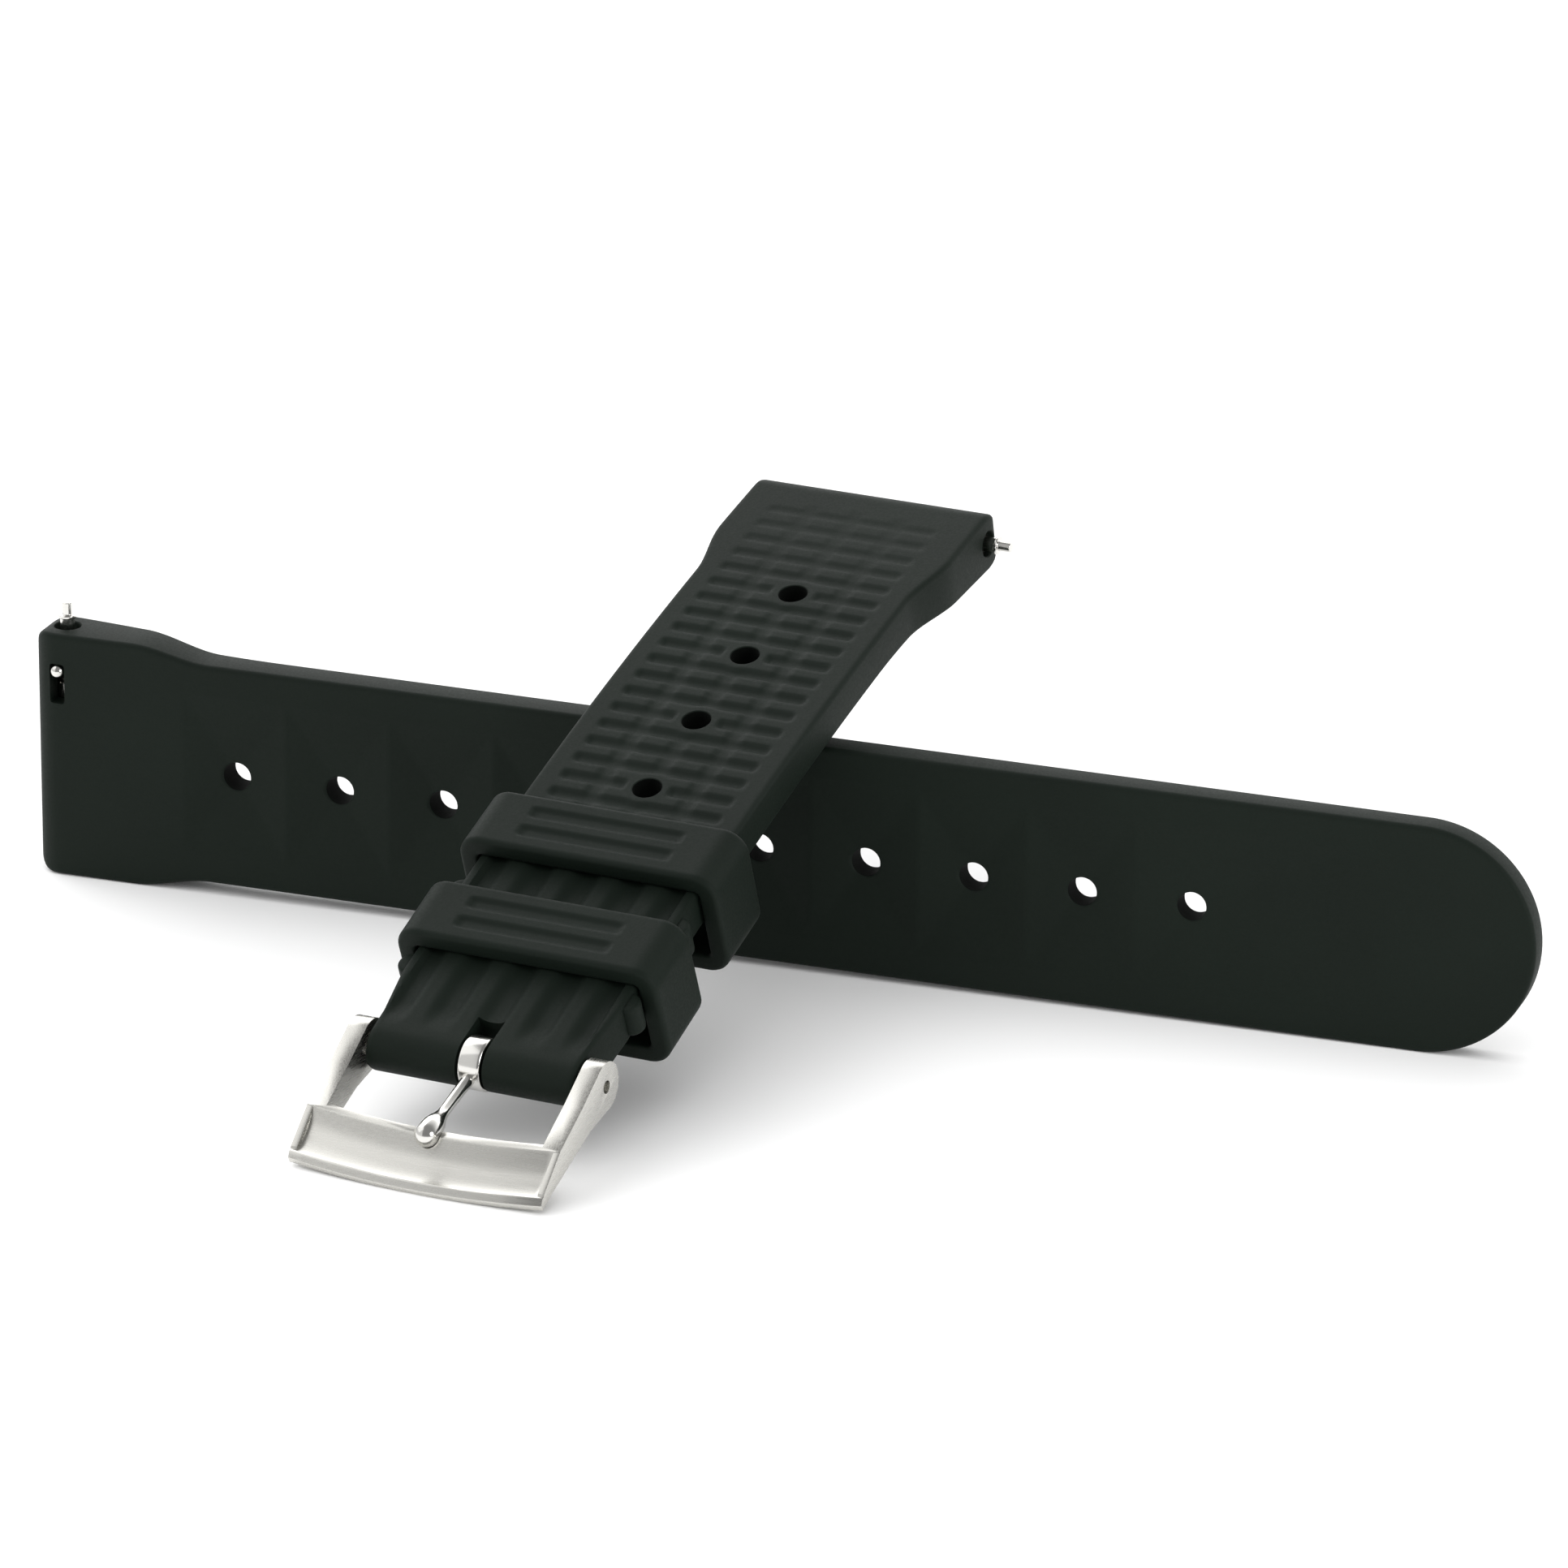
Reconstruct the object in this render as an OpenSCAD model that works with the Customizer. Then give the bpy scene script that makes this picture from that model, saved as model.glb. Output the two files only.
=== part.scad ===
// Two-piece rubber watch strap with quick-release spring bars, a pin buckle and two keepers.
// Millimetres, +Z up. The long half stands on its edge along +X, the short half lies across it.
// Origin: the end of the long half's fixed spring-bar tip, where it meets the surface below.

/* [Band] */
// Width of both halves between lug and buckle
body_w = 18; // [16:1:22]
// How much wider the lug end is, on each side
lug_flare = 1; // [0.6:0.1:1.6]
// Thickness of the round boss that holds the spring bar
lug_t = 4.6; // [4.2:0.1:5]
// Length of the wide stretch at the lug end
lug_len = 8.5; // [7:0.5:10]
// Length over which the shoulders narrow to the body
shoulder_len = 6.5; // [5:0.5:8]
// Distance from the lug end at which the boss has thinned to the body
thin_len = 20.5; // [17:0.5:24]

/* [Long half] */
// Overall length of the long half
tail_len = 121.3; // [112:0.1:135]
// Thickness of the long half where the boss has thinned
tail_root_t = 2.9; // [2.4:0.1:3.4]
// Thickness of the long half at its rounded tip
tail_tip_t = 2.4; // [2:0.1:2.8]
// Diameter of the adjusting holes
hole_d = 2.3; // [1.8:0.1:2.6]
// Distance between neighbouring holes
hole_pitch = 8.6; // [7:0.1:9]
// Number of adjusting holes
hole_count = 10; // [6:1:10]
// Distance from the lug end to the first hole
hole_start = 17.2; // [16:0.1:19]

/* [Short half] */
// Distance from the lug end to the buckle bar
head_len = 71.4; // [68:0.2:80]
// Thickness of the short half
head_t = 3.2; // [3:0.1:3.8]
// Radius to which the short half sags where it lies over the long half
sag_r = 400; // [300:20:900]
// Number of holes through the short half
head_hole_count = 4; // [2:1:4]
// Distance from the lug end to the first of them
head_hole_start = 16.2; // [15:0.2:18]
// How much narrower the rolled end inside the buckle is, on each side
end_step = 0.5; // [0.4:0.1:1.6]
// Width of the tongue's slot in the rolled end
slot_w = 2.2; // [2:0.1:2.6]
// How far the slot runs behind the buckle bar
slot_back = 2.8; // [2.6:0.1:3.4]

/* [Relief] */
// Depth of the grooves moulded into the outer faces
groove_d = 0.3; // [0.2:0.05:0.4]
// Depth of the shallow facets between the holes on the inner faces
facet_d = 0.3; // [0.15:0.05:0.4]
// Rows of raised blocks between one hole and the next
rows_per_hole = 4; // [3:1:5]

/* [Keepers] */
// Length of each keeper along the strap
keeper_len = 6; // [5:0.2:6.4]
// Wall thickness of the keepers
keeper_t = 1.5; // [1.2:0.1:1.8]
// Play between keeper and strap, on each side
keeper_play = 0.2; // [0.15:0.05:0.3]
// Distance from the buckle bar back to the middle of the fixed keeper
fixed_keeper_back = 11.4; // [11:0.1:12]
// Distance from the buckle bar back to the middle of the free keeper
free_keeper_back = 21.9; // [21.4:0.1:23.4]

/* [Buckle] */
// Thickness of the buckle's arms
arm_t = 1.5; // [1.3:0.1:1.8]
// Distance from the buckle bar to the front bar
window_len = 6.9; // [6.6:0.1:9]
// Depth of the front bar, front to back
front_len = 4.6; // [3.6:0.1:5]
// How far the front bar bows outwards
bow = 0.9; // [0.6:0.1:1.2]
// Width of the tongue's knuckle
tongue_w = 1.8; // [1.6:0.05:1.85]
// How far the buckle drops below the line of the strap, in degrees
buckle_drop = 3; // [0:0.5:6]

/* [Spring bars] */
// Outer radius of the bars' tubes
bar_r = 0.9; // [0.8:0.05:0.95]
// Radial clearance of the bars in their bores
bar_play = 0.05; // [0.03:0.01:0.08]
// Radius of the tips that enter the watch lugs
tip_r = 0.4; // [0.35:0.05:0.45]
// Length of each tip beyond its flange
tip_len = 1; // [0.8:0.05:1.1]
// Radius of the quick-release knob
knob_r = 0.55; // [0.5:0.05:0.6]
// Distance from the strap's edge to the knob
knob_in = 3.1; // [3:0.1:4.4]

/* [Pose] */
// Distance along the long half, from its lug bar, at which the short half crosses it
cross_x = 55.1; // [48:0.1:60]
// Distance along the short half, from its lug end, at which it crosses the long half
cross_s = 30.1; // [27:0.1:31]
// Angle by which the crossing differs from a right angle
cross_angle = 6.5; // [0:0.5:12]

/* [Hidden] */
$fn = 48;
eps = 0.01;
rubber = [0.13, 0.14, 0.14];
steel = [0.75, 0.75, 0.73];

// lug end: the bar axis is the 2D origin, x runs into the band, y from its inner to its outer face
lug_w = body_w + 2 * lug_flare;
lug_r = lug_t / 2;
corner_r = 1.5;
curve_steps = 10;
bore_r = bar_r + bar_play;
mouth_r = bar_r + 0.15;
mouth_depth = 0.6;

// spring bars along their own z axis, with the knob on the -y side; pulled right in, a plunger's
// flange stops just short of the tube
tube_bore = bar_r - 0.2;
lip_t = 0.4;
piston_r = tube_bore - 0.04;
shaft_r = tube_bore - 0.12;
shaft_play = 0.05;
flange_r = tip_r + 0.32;
flange_t = 0.25;
lever_r = 0.32;
release = tip_len + 0.05;
tube_half = lug_w / 2 - flange_t - release - 0.1;
knob_at = lug_w / 2 - knob_in;
wire_r = 0.1;
coil_turns = 10;

// long half: its lowest corners, at both ends of the straight edge, stand on the surface
flat_end = lug_len - lug_r;
tip_start = tail_len - lug_r - body_w / 2;
tail_tilt = atan(lug_flare / (tip_start - flat_end));
tip_out = flat_end * tan(tail_tilt);
bar_float = tip_len - tip_out;
axis_z = tip_out + lug_w / 2;
knob_gap = 0.08;
knob_slot = 2 * (knob_r + knob_gap) + bar_float + release;

// short half: the buckle bar, in the arc frame (s from the lug end, w above the underside)
end_w = body_w - 2 * end_step;
end_r = 1.9;
bar_w_pos = head_t - end_r;
lug_bar_w = head_t - lug_r;
fixed_keeper_s = head_len - fixed_keeper_back;
free_keeper_s = head_len - free_keeper_back;
keeper_half = body_w / 2 + keeper_play;
keeper_h = head_t + tail_root_t;
keeper_lift = 0.05;
nub_r = 1;
nub_out = 0.9;
nub_gap = 0.25;

// buckle, in the frame of its bar: x across, -y towards the front, z up
arm_in = end_w / 2 + 0.3;
arm_out = arm_in + arm_t;
arm_r = 1.9;
rim_z = 1.15;
lip_z = -0.75;
lip_front = window_len + front_len;
bow_r = (arm_out * arm_out + bow * bow) / (2 * bow);
pin_play = 0.05;
prong_r = 0.45;
bulb_r = 0.85;
knuckle_r = 2;
pin_r = 0.45;

// the tongue's prong points up a little, and its end lies in a notch cut along it
prong_end = window_len + bow + 0.9;
rest_z = rim_z + 0.25;
rest_slope = asin(rest_z / prong_end);
notch_r = bulb_r + 0.1;

// pose of the short half: its left edge rests on the long half, its buckle lip on the surface
rest_gap = 0.05;
edge_x = cross_x - body_w / 2 / cos(cross_angle);
edge_z = (axis_z + body_w / 2) * cos(tail_tilt) - edge_x * sin(tail_tilt) + rest_gap;
function arc_y(s, w) = -(sag_r + w) * sin((s - cross_s) / sag_r * 180 / PI);
function arc_z(s, w) = (sag_r + w) * cos((s - cross_s) / sag_r * 180 / PI) - sag_r;
lip_turn = (head_len - cross_s) / sag_r * 180 / PI + buckle_drop;
lip_y = arc_y(head_len, bar_w_pos) - (lip_front + bow) * cos(lip_turn) - lip_z * sin(lip_turn);
lip_h = arc_z(head_len, bar_w_pos) - (lip_front + bow) * sin(lip_turn) + lip_z * cos(lip_turn);
lip_dist = norm([lip_y, lip_h]);
function base_z(p) = edge_z + body_w / 2 * tan(p) * sin(cross_angle);
function pitch_for(p) = asin(base_z(p) / lip_dist) + atan2(lip_h, -lip_y);
pitch = pitch_for(pitch_for(pitch_for(17)));

// relief: columns of raised blocks with channels between them
columns = 4;
column_pitch = (body_w - 2.8) / columns;
channel_w = 1.2;
row_pitch = hole_pitch / rows_per_hole;
row_len = columns * column_pitch - 0.6;
row_w = 0.8;
collar_r = hole_d / 2 + 0.55;

// smooth step from 0 to 1, and a steeper one for the boss
function ease(u) = let (c = min(max(u, 0), 1)) c * c * (3 - 2 * c);
function thin(u) = (ease(u) + 1 - (1 - u) * (1 - u)) / 2;

// points on an arc in the plane
function arc_pts(cx, cy, r, from, to) =
    [for (i = [0 : 6]) let (a = from + (to - from) * i / 6) [cx + r * cos(a), cy + r * sin(a)]];

// plan of a band from its lug end, at x = 0, to a straight cut
module lug_plan(stop) {
    side = [for (i = [0 : curve_steps]) let (u = i / curve_steps)
        [lug_len + shoulder_len * u, body_w / 2 + lug_flare * (1 - ease(u))]];
    inset = lug_w / 2 - corner_r;
    polygon(concat(
        arc_pts(corner_r, -inset, corner_r, 180, 270),
        [for (q = side) [q[0], -q[1]]],
        [[stop, -body_w / 2], [stop, body_w / 2]],
        [for (i = [len(side) - 1 : -1 : 0]) side[i]],
        arc_pts(corner_r, inset, corner_r, 90, 180)));
}

// how far the boss stands above a body of thickness t, from x = 0 to where it has thinned
thin_x = thin_len - lug_r;
function boss_line(t) =
    [for (i = [0 : curve_steps]) [thin_x * i / curve_steps, (lug_t - t) * thin(i / curve_steps)]];

// spring bar pieces, on the bar's z axis
module bar_tube() {
    lever_gap = lever_r + 0.08;
    difference() {
        cylinder(r = bar_r, h = 2 * tube_half, center = true);
        translate([0, 0, -tube_half - eps])
            cylinder(r = tube_bore, h = 2 * tube_half - lip_t + eps);
        cylinder(r = shaft_r + shaft_play, h = 2 * tube_half + 1, center = true);
        translate([-lever_gap, -bar_r - 1, knob_at - bar_float - release - lever_gap])
            cube([2 * lever_gap, bar_r + 1, release + 2 * lever_gap]);
    }
}

// plug in the tube's open end, shaft, flange and tip
module fixed_tip() {
    translate([0, 0, -tube_half + 0.02])
        cylinder(r = tube_bore - 0.005, h = 1.5);
    translate([0, 0, -lug_w / 2 + eps])
        cylinder(r = shaft_r, h = lug_w / 2 - tube_half + 0.02);
    translate([0, 0, -lug_w / 2])
        cylinder(r = flange_r, h = flange_t);
    translate([0, 0, -lug_w / 2 - tip_len])
        cylinder(r = tip_r, h = tip_len + eps);
}

// sprung tip: piston in a tube that ends at half, and its shaft through the tube's lip
module piston(from, half, shaft, out) {
    translate([0, 0, from])
        cylinder(r = piston_r, h = half - lip_t - 0.05 - from);
    translate([0, 0, half - lip_t - 0.1])
        cylinder(r = shaft, h = out - half + lip_t + 0.1);
}

module plunger() {
    piston(piston_back, tube_half, shaft_r, flange_at);
    translate([0, 0, flange_at - eps])
        cylinder(r = flange_r, h = flange_t + eps);
    translate([0, 0, flange_at + flange_t - eps])
        cylinder(r = tip_r, h = tip_len + eps);
}

// one unbroken coil as a closed tube of rings
module coil(z0, z1, turns) {
    mean_r = tube_bore - wire_r - 0.06;
    rings = 8 * turns;
    sides = 6;
    points = [for (i = [0 : rings]) for (j = [0 : sides - 1])
        let (a = 360 * turns * i / rings, b = 360 * j / sides, r = mean_r + wire_r * cos(b))
        [r * cos(a), r * sin(a), z0 + (z1 - z0) * i / rings + wire_r * sin(b)]];
    skin = [for (i = [0 : rings - 1]) for (j = [0 : sides - 1])
        let (k = (j + 1) % sides, p = i * sides)
        each [[p + j, p + sides + j, p + k], [p + k, p + sides + j, p + sides + k]]];
    first = [for (j = [1 : sides - 2]) [0, j, j + 1]];
    base = rings * sides;
    last = [for (j = [1 : sides - 2]) [base, base + j + 1, base + j]];
    polyhedron(points, concat(skin, first, last));
}

// the flange faces of a bar that lies centred in its lug
flange_at = lug_w / 2 - flange_t;
piston_back = knob_at - bar_float - 0.7;

// pose of the long half: bar axis upright but for the small tilt
module tail_pose() {
    rotate([0, tail_tilt, 0])
        translate([0, 0, axis_z])
            children();
}

// bar of the long half, pushed up by the surface below it
module tail_bar_pose() {
    tail_pose()
        translate([0, 0, bar_float])
            children();
}

// side view of the long half: boss, then a flat inner face and a tapering outer one
module tail_side() {
    end_x = tail_len - lug_r;
    circle(r = lug_r);
    polygon(concat(
        [[0, -lug_r], [end_x, -lug_r], [end_x, tail_tip_t - lug_r]],
        [for (i = [curve_steps : -1 : 0]) let (q = boss_line(tail_root_t)[i]) [q[0], lug_r - q[1]]]));
}

// plan of the long half, with its length along +x from the bar
module tail_plan() {
    translate([-lug_r, 0])
        lug_plan(tip_start + lug_r);
    translate([tip_start, 0])
        intersection() {
            circle(r = body_w / 2);
            translate([0, -body_w])
                square([body_w, 2 * body_w]);
        }
}

module tail_strap() {
    color(rubber)
        tail_pose()
            difference() {
                intersection() {
                    linear_extrude(height = lug_w, center = true)
                        tail_side();
                    rotate([90, 0, 0])
                        linear_extrude(height = 3 * lug_t, center = true)
                            tail_plan();
                }
                for (i = [0 : hole_count - 1])
                    translate([hole_start - lug_r + i * hole_pitch, 0, 0])
                        rotate([90, 0, 0])
                            cylinder(d = hole_d, h = 3 * lug_t, center = true);
                lug_bores();
                for (i = [0 : hole_count])
                    translate([hole_start - lug_r + (i - 0.5) * hole_pitch, -lug_r, 0])
                        facet(i > 0, i < hole_count);
                tail_grooves();
            }
}

// shallow dimple between two holes, deepest on its middle line, where it is widest
module facet(behind, ahead) {
    half = hole_pitch / 2;
    wide = body_w * 0.35;
    a = behind ? -half : -0.6;
    b = ahead ? half : 0.6;
    intersection() {
        linear_extrude(height = 2 * wide, center = true)
            polygon([[a, -0.2], [a, 0], [0, facet_d], [b, 0], [b, -0.2]]);
        rotate([90, 0, 0])
            linear_extrude(height = 2, center = true)
                polygon([[a, 0], [0, -wide], [b, 0], [0, wide]]);
    }
}

// channels and cross grooves on the outer face of the long half, which slopes towards the tip
module tail_grooves() {
    slope = atan((tail_root_t - tail_tip_t) / (tail_len - thin_len));
    rows = floor((tip_start - thin_x) / row_pitch) - 1;
    translate([thin_x, tail_root_t - lug_r, 0])
        rotate([0, 0, -slope])
            difference() {
                union() {
                    for (r = [0 : rows])
                        translate([(r + 0.5) * row_pitch, 0, 0])
                            cube([row_w, 2 * groove_d, row_len], center = true);
                    for (c = [1 : columns - 1])
                        translate([0, -groove_d, (c - columns / 2) * column_pitch - channel_w / 2])
                            cube([(rows + 1) * row_pitch, 2 * groove_d, channel_w]);
                }
                for (i = [0 : hole_count - 1])
                    translate([hole_start - lug_r + i * hole_pitch - thin_x, 0, 0])
                        rotate([90, 0, 0])
                            cylinder(r = collar_r, h = lug_t, center = true);
            }
}

// bore for the bar, its wider mouths and the slot for the knob, on the bar's axes
module lug_bores() {
    cylinder(r = bore_r, h = lug_w + 1, center = true);
    for (m = [-1, 1])
        translate([0, 0, m * lug_w / 2])
            cylinder(r = mouth_r, h = 2 * mouth_depth, center = true);
    translate([-knob_r - knob_gap, -lug_t, knob_at + knob_r + knob_gap - knob_slot])
        cube([2 * (knob_r + knob_gap), lug_t, knob_slot]);
}

module tail_bar_tube() {
    color(steel)
        tail_bar_pose()
            bar_tube();
}

module tail_bar_fixed_tip() {
    color(steel)
        tail_bar_pose()
            fixed_tip();
}

module tail_bar_plunger() {
    color(steel)
        tail_bar_pose()
            plunger();
}

// knob on its stem, clear of the piston it is pressed into
module lever() {
    translate([0, 0, knob_at - bar_float]) {
        rotate([90, 0, 0])
            translate([0, 0, piston_r])
                cylinder(r = lever_r, h = lug_r - piston_r - 0.2);
        translate([0, 0.25 - lug_r, 0])
            sphere(r = knob_r);
    }
}

module tail_bar_lever() {
    color(steel)
        tail_bar_pose()
            lever();
}

module bar_coil() {
    coil(-tube_half + 1.6 + wire_r, piston_back - 0.1 - wire_r, coil_turns);
}

module tail_bar_spring() {
    color(steel)
        tail_bar_pose()
            bar_coil();
}

// pose of the short half: x across, -y towards the buckle, z up from its underside
module head_pose() {
    translate([cross_x, -lug_r, base_z(pitch)])
        rotate([0, 0, -cross_angle])
            rotate([pitch, 0, 0])
                children();
}

// moves its children along the bent short half to distance s and height w above the underside
module on_strap(s, w) {
    translate([0, 0, -sag_r])
        rotate([(s - cross_s) / sag_r * 180 / PI, 0, 0])
            translate([0, 0, sag_r + w])
                children();
}

// the arc frame as points of a side view whose x runs from the crossing to the buckle
function side_pt(s, w) = [-arc_y(s, w), arc_z(s, w)];

module head_side() {
    deep = 2 * end_r - head_t;
    wedge = 8;
    sink = 0.05; // the wedges run out just inside the body
    start = side_pt(lug_r, head_t);
    stop = side_pt(head_len, 0);
    // the body between two arcs
    intersection() {
        translate([0, -sag_r])
            difference() {
                circle(r = sag_r + head_t, $fn = 360);
                circle(r = sag_r, $fn = 360);
            }
        polygon([
            [start[0], -9 * head_t],
            [start[0], 9 * head_t],
            [stop[0], 9 * head_t],
            [stop[0], -9 * head_t]]);
    }
    // the boss and the wedge below the body behind it
    translate(side_pt(lug_r, lug_bar_w))
        circle(r = lug_r);
    polygon(concat(
        [side_pt(thin_len, head_t / 2), side_pt(lug_r, head_t / 2)],
        [for (q = boss_line(head_t)) side_pt(lug_r + q[0], q[1] + head_t - lug_t + sink * q[0] / thin_x)]));
    // the rolled end round the buckle bar and the wedge that leads to it
    translate(side_pt(head_len, bar_w_pos))
        circle(r = end_r);
    polygon(concat(
        [side_pt(head_len, head_t / 2), side_pt(head_len - wedge, head_t / 2)],
        [for (i = [0 : curve_steps]) let (u = i / curve_steps)
            side_pt(head_len - wedge * (1 - u), sink * (1 - u) - deep * ease(u))]));
}

// plan of the short half, with its length along +x from the crossing
module head_plan() {
    neck = 6;
    translate([-cross_s, 0]) {
        lug_plan(head_len - neck);
        translate([head_len - neck, 0])
            polygon([
                [0, -body_w / 2],
                [neck - end_r, -end_w / 2],
                [neck + 2 * end_r, -end_w / 2],
                [neck + 2 * end_r, end_w / 2],
                [neck - end_r, end_w / 2],
                [0, body_w / 2]]);
    }
}

module buckle_strap() {
    color(rubber)
        head_pose()
            difference() {
                union() {
                    intersection() {
                        rotate([90, 0, -90])
                            linear_extrude(height = lug_w, center = true)
                                head_side();
                        rotate([0, 0, -90])
                            linear_extrude(height = 60, center = true)
                                head_plan();
                    }
                    nubs();
                }
                for (i = [0 : head_hole_count - 1])
                    on_strap(head_hole_start + i * hole_pitch, 0)
                        cylinder(d = hole_d, h = 4 * head_t, center = true);
                on_strap(lug_r, lug_bar_w)
                    rotate([90, 0, 90])
                        lug_bores();
                on_strap(head_len, bar_w_pos) {
                    rotate([0, 90, 0])
                        cylinder(r = bore_r, h = body_w + 1, center = true);
                    translate([-slot_w / 2, -2 * end_r, -2 * end_r])
                        cube([slot_w, 2 * end_r + slot_back, 4 * end_r]);
                }
                head_facets();
                head_grooves();
            }
}

// the same dimples under the short half, behind its holes and between them
module head_facets() {
    for (i = [1 : head_hole_count - 1])
        on_strap(head_hole_start + (i - 0.5) * hole_pitch, 0)
            rotate([90, 0, -90])
                facet(true, true);
}

// channels along the whole top face, cross grooves up to the free keeper
module head_grooves() {
    rows = floor((free_keeper_s - keeper_len / 2 - 6) / row_pitch) - 1;
    difference() {
        union() {
            for (r = [1 : rows])
                on_strap(head_hole_start + (r - rows_before) * row_pitch, head_t)
                    cube([row_len, row_w, 2 * groove_d], center = true);
            for (c = [0 : columns])
                if (c % columns != 0)
                    channel((c - columns / 2) * column_pitch, rows_from, head_len - end_r - 1);
                else
                    channel((c - columns / 2) * column_pitch, free_keeper_s + 2, head_len - end_r - 1);
        }
        for (i = [0 : head_hole_count - 1])
            on_strap(head_hole_start + i * hole_pitch, head_t)
                cylinder(r = collar_r, h = head_t, center = true);
    }
}

// the first row lies close behind the boss
rows_before = floor((head_hole_start - 5) / row_pitch);
rows_from = head_hole_start - rows_before * row_pitch;

// one channel along the arc of the top face, at distance x from its middle
module channel(x, from, to) {
    above = 3 * head_t;
    translate([x, 0, 0])
        rotate([90, 0, -90])
            linear_extrude(height = channel_w, center = true)
                difference() {
                    polygon([side_pt(from, 0), side_pt(from, above), side_pt(to, above), side_pt(to, 0)]);
                    translate([0, -sag_r])
                        circle(r = sag_r + head_t - groove_d, $fn = 360);
                }
}

// rounded stops on both edges, in front of and behind the fixed keeper
module nubs() {
    reach = keeper_len / 2 + nub_gap + nub_r;
    for (m = [-1, 1])
        for (side = [-1, 1])
            on_strap(fixed_keeper_s + m * reach, head_t / 2)
                translate([side * (body_w / 2 + nub_out - nub_r), 0, 0])
                    cylinder(r = nub_r, h = head_t - 0.6, center = true);
}

// square section with round corners, from squares and circles alone
module round_rect(w, h, r) {
    square([w - 2 * r, h], center = true);
    square([w, h - 2 * r], center = true);
    for (x = [-1, 1])
        for (y = [-1, 1])
            translate([x * (w / 2 - r), y * (h / 2 - r)])
                circle(r = r);
}

// a keeper about its own middle: loop open along y, two grooves across its top wall
module keeper() {
    outer_w = 2 * (keeper_half + keeper_t);
    outer_h = keeper_h + 2 * keeper_t;
    difference() {
        rotate([90, 0, 0])
            linear_extrude(height = keeper_len, center = true)
                difference() {
                    round_rect(outer_w, outer_h, keeper_t);
                    round_rect(2 * keeper_half, keeper_h, 0.4);
                }
        for (m = [-1, 1])
            translate([0, m * row_pitch / 2, outer_h / 2])
                cube([body_w * 0.7, row_w, 2 * groove_d], center = true);
    }
}

// a keeper hangs by its top wall from the top face
module keeper_pose(s) {
    head_pose()
        on_strap(s, head_t + keeper_lift - keeper_h / 2)
            children();
}

module fixed_keeper() {
    color(rubber)
        keeper_pose(fixed_keeper_s)
            keeper();
}

module free_keeper() {
    color(rubber)
        keeper_pose(free_keeper_s)
            keeper();
}

// bar of the short half, slid towards its knob end
module head_bar_pose() {
    head_pose()
        on_strap(lug_r, lug_bar_w)
            rotate([90, 0, 90])
                translate([0, 0, bar_float])
                    children();
}

module head_bar_tube() {
    color(steel)
        head_bar_pose()
            bar_tube();
}

module head_bar_fixed_tip() {
    color(steel)
        head_bar_pose()
            fixed_tip();
}

module head_bar_plunger() {
    color(steel)
        head_bar_pose()
            plunger();
}

module head_bar_lever() {
    color(steel)
        head_bar_pose()
            lever();
}

module head_bar_spring() {
    color(steel)
        head_bar_pose()
            bar_coil();
}

// the buckle bar's own place, and the buckle's place about it
module buckle_bar_pose() {
    head_pose()
        on_strap(head_len, bar_w_pos)
            children();
}

module buckle_pose() {
    buckle_bar_pose()
        rotate([buckle_drop, 0, 0])
            children();
}

// front bar in section: x is the distance forward of the bar, hollow on top between rim and lip
module front_section() {
    hollow = 0.45;
    rim_edge = [window_len + 0.6, rim_z];
    lip_edge = [lip_front - 0.6, 0];
    chord = norm(lip_edge - rim_edge);
    hollow_r = (chord * chord / 4 + hollow * hollow) / (2 * hollow);
    up = [rim_edge[1] - lip_edge[1], lip_edge[0] - rim_edge[0]] / chord;
    difference() {
        polygon([
            [window_len, -0.35],
            [window_len, rim_z],
            [window_len + 1.2, rim_z],
            [lip_front - 0.35, 0],
            [lip_front, -0.3],
            [lip_front, lip_z],
            [lip_front - 1.2, lip_z]]);
        translate((rim_edge + lip_edge) / 2 + up * (hollow_r - hollow))
            circle(r = hollow_r);
    }
}

// front bar swept round the bow, cut off at the outer faces of the arms
module front_bar() {
    sweep = 30;
    intersection() {
        translate([0, bow_r - bow, 0])
            rotate([0, 0, -90 - sweep / 2])
                rotate_extrude(angle = sweep, $fn = 180)
                    translate([bow_r, 0])
                        front_section();
        cube([2 * arm_out, 4 * lip_front, 8], center = true);
    }
}

// side view of one arm, with its length along +x from the bar to the lip
module arm_side() {
    circle(r = arm_r);
    polygon([
        [0, arm_r],
        [window_len * 0.5, rim_z + 0.3],
        [window_len + 0.6, rim_z],
        [lip_front - 0.6, 0.15],
        [lip_front - 0.15, -0.3],
        [lip_front - 0.15, lip_z],
        [lip_front - 1.4, lip_z],
        [window_len * 0.5, -1.1],
        [0, -arm_r]]);
}

module buckle_frame() {
    color(steel)
        buckle_pose()
            difference() {
                union() {
                    front_bar();
                    for (side = [-1, 1])
                        translate([side * (arm_in + arm_t / 2), 0, 0])
                            rotate([90, 0, -90])
                                linear_extrude(height = arm_t, center = true)
                                    arm_side();
                }
                rotate([0, 90, 0])
                    cylinder(r = pin_r + pin_play, h = 3 * arm_out, center = true);
                prong_axis()
                    translate([0, 0, window_len - 1])
                        cylinder(r = notch_r, h = prong_end + bulb_r + 1.2 - window_len);
            }
}

// knuckle rolled round the bar, prong and drop-shaped end that rests in the notch
module buckle_tongue() {
    color(steel)
        buckle_pose()
            difference() {
                union() {
                    rotate([0, 90, 0])
                        cylinder(r = knuckle_r, h = tongue_w, center = true);
                    prong();
                }
                rotate([0, 90, 0])
                    cylinder(r = bore_r, h = 2 * tongue_w, center = true);
            }
}

// the prong's own z axis runs from the bar to the notch
module prong_axis() {
    rotate([90 - rest_slope, 0, 0])
        children();
}

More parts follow.
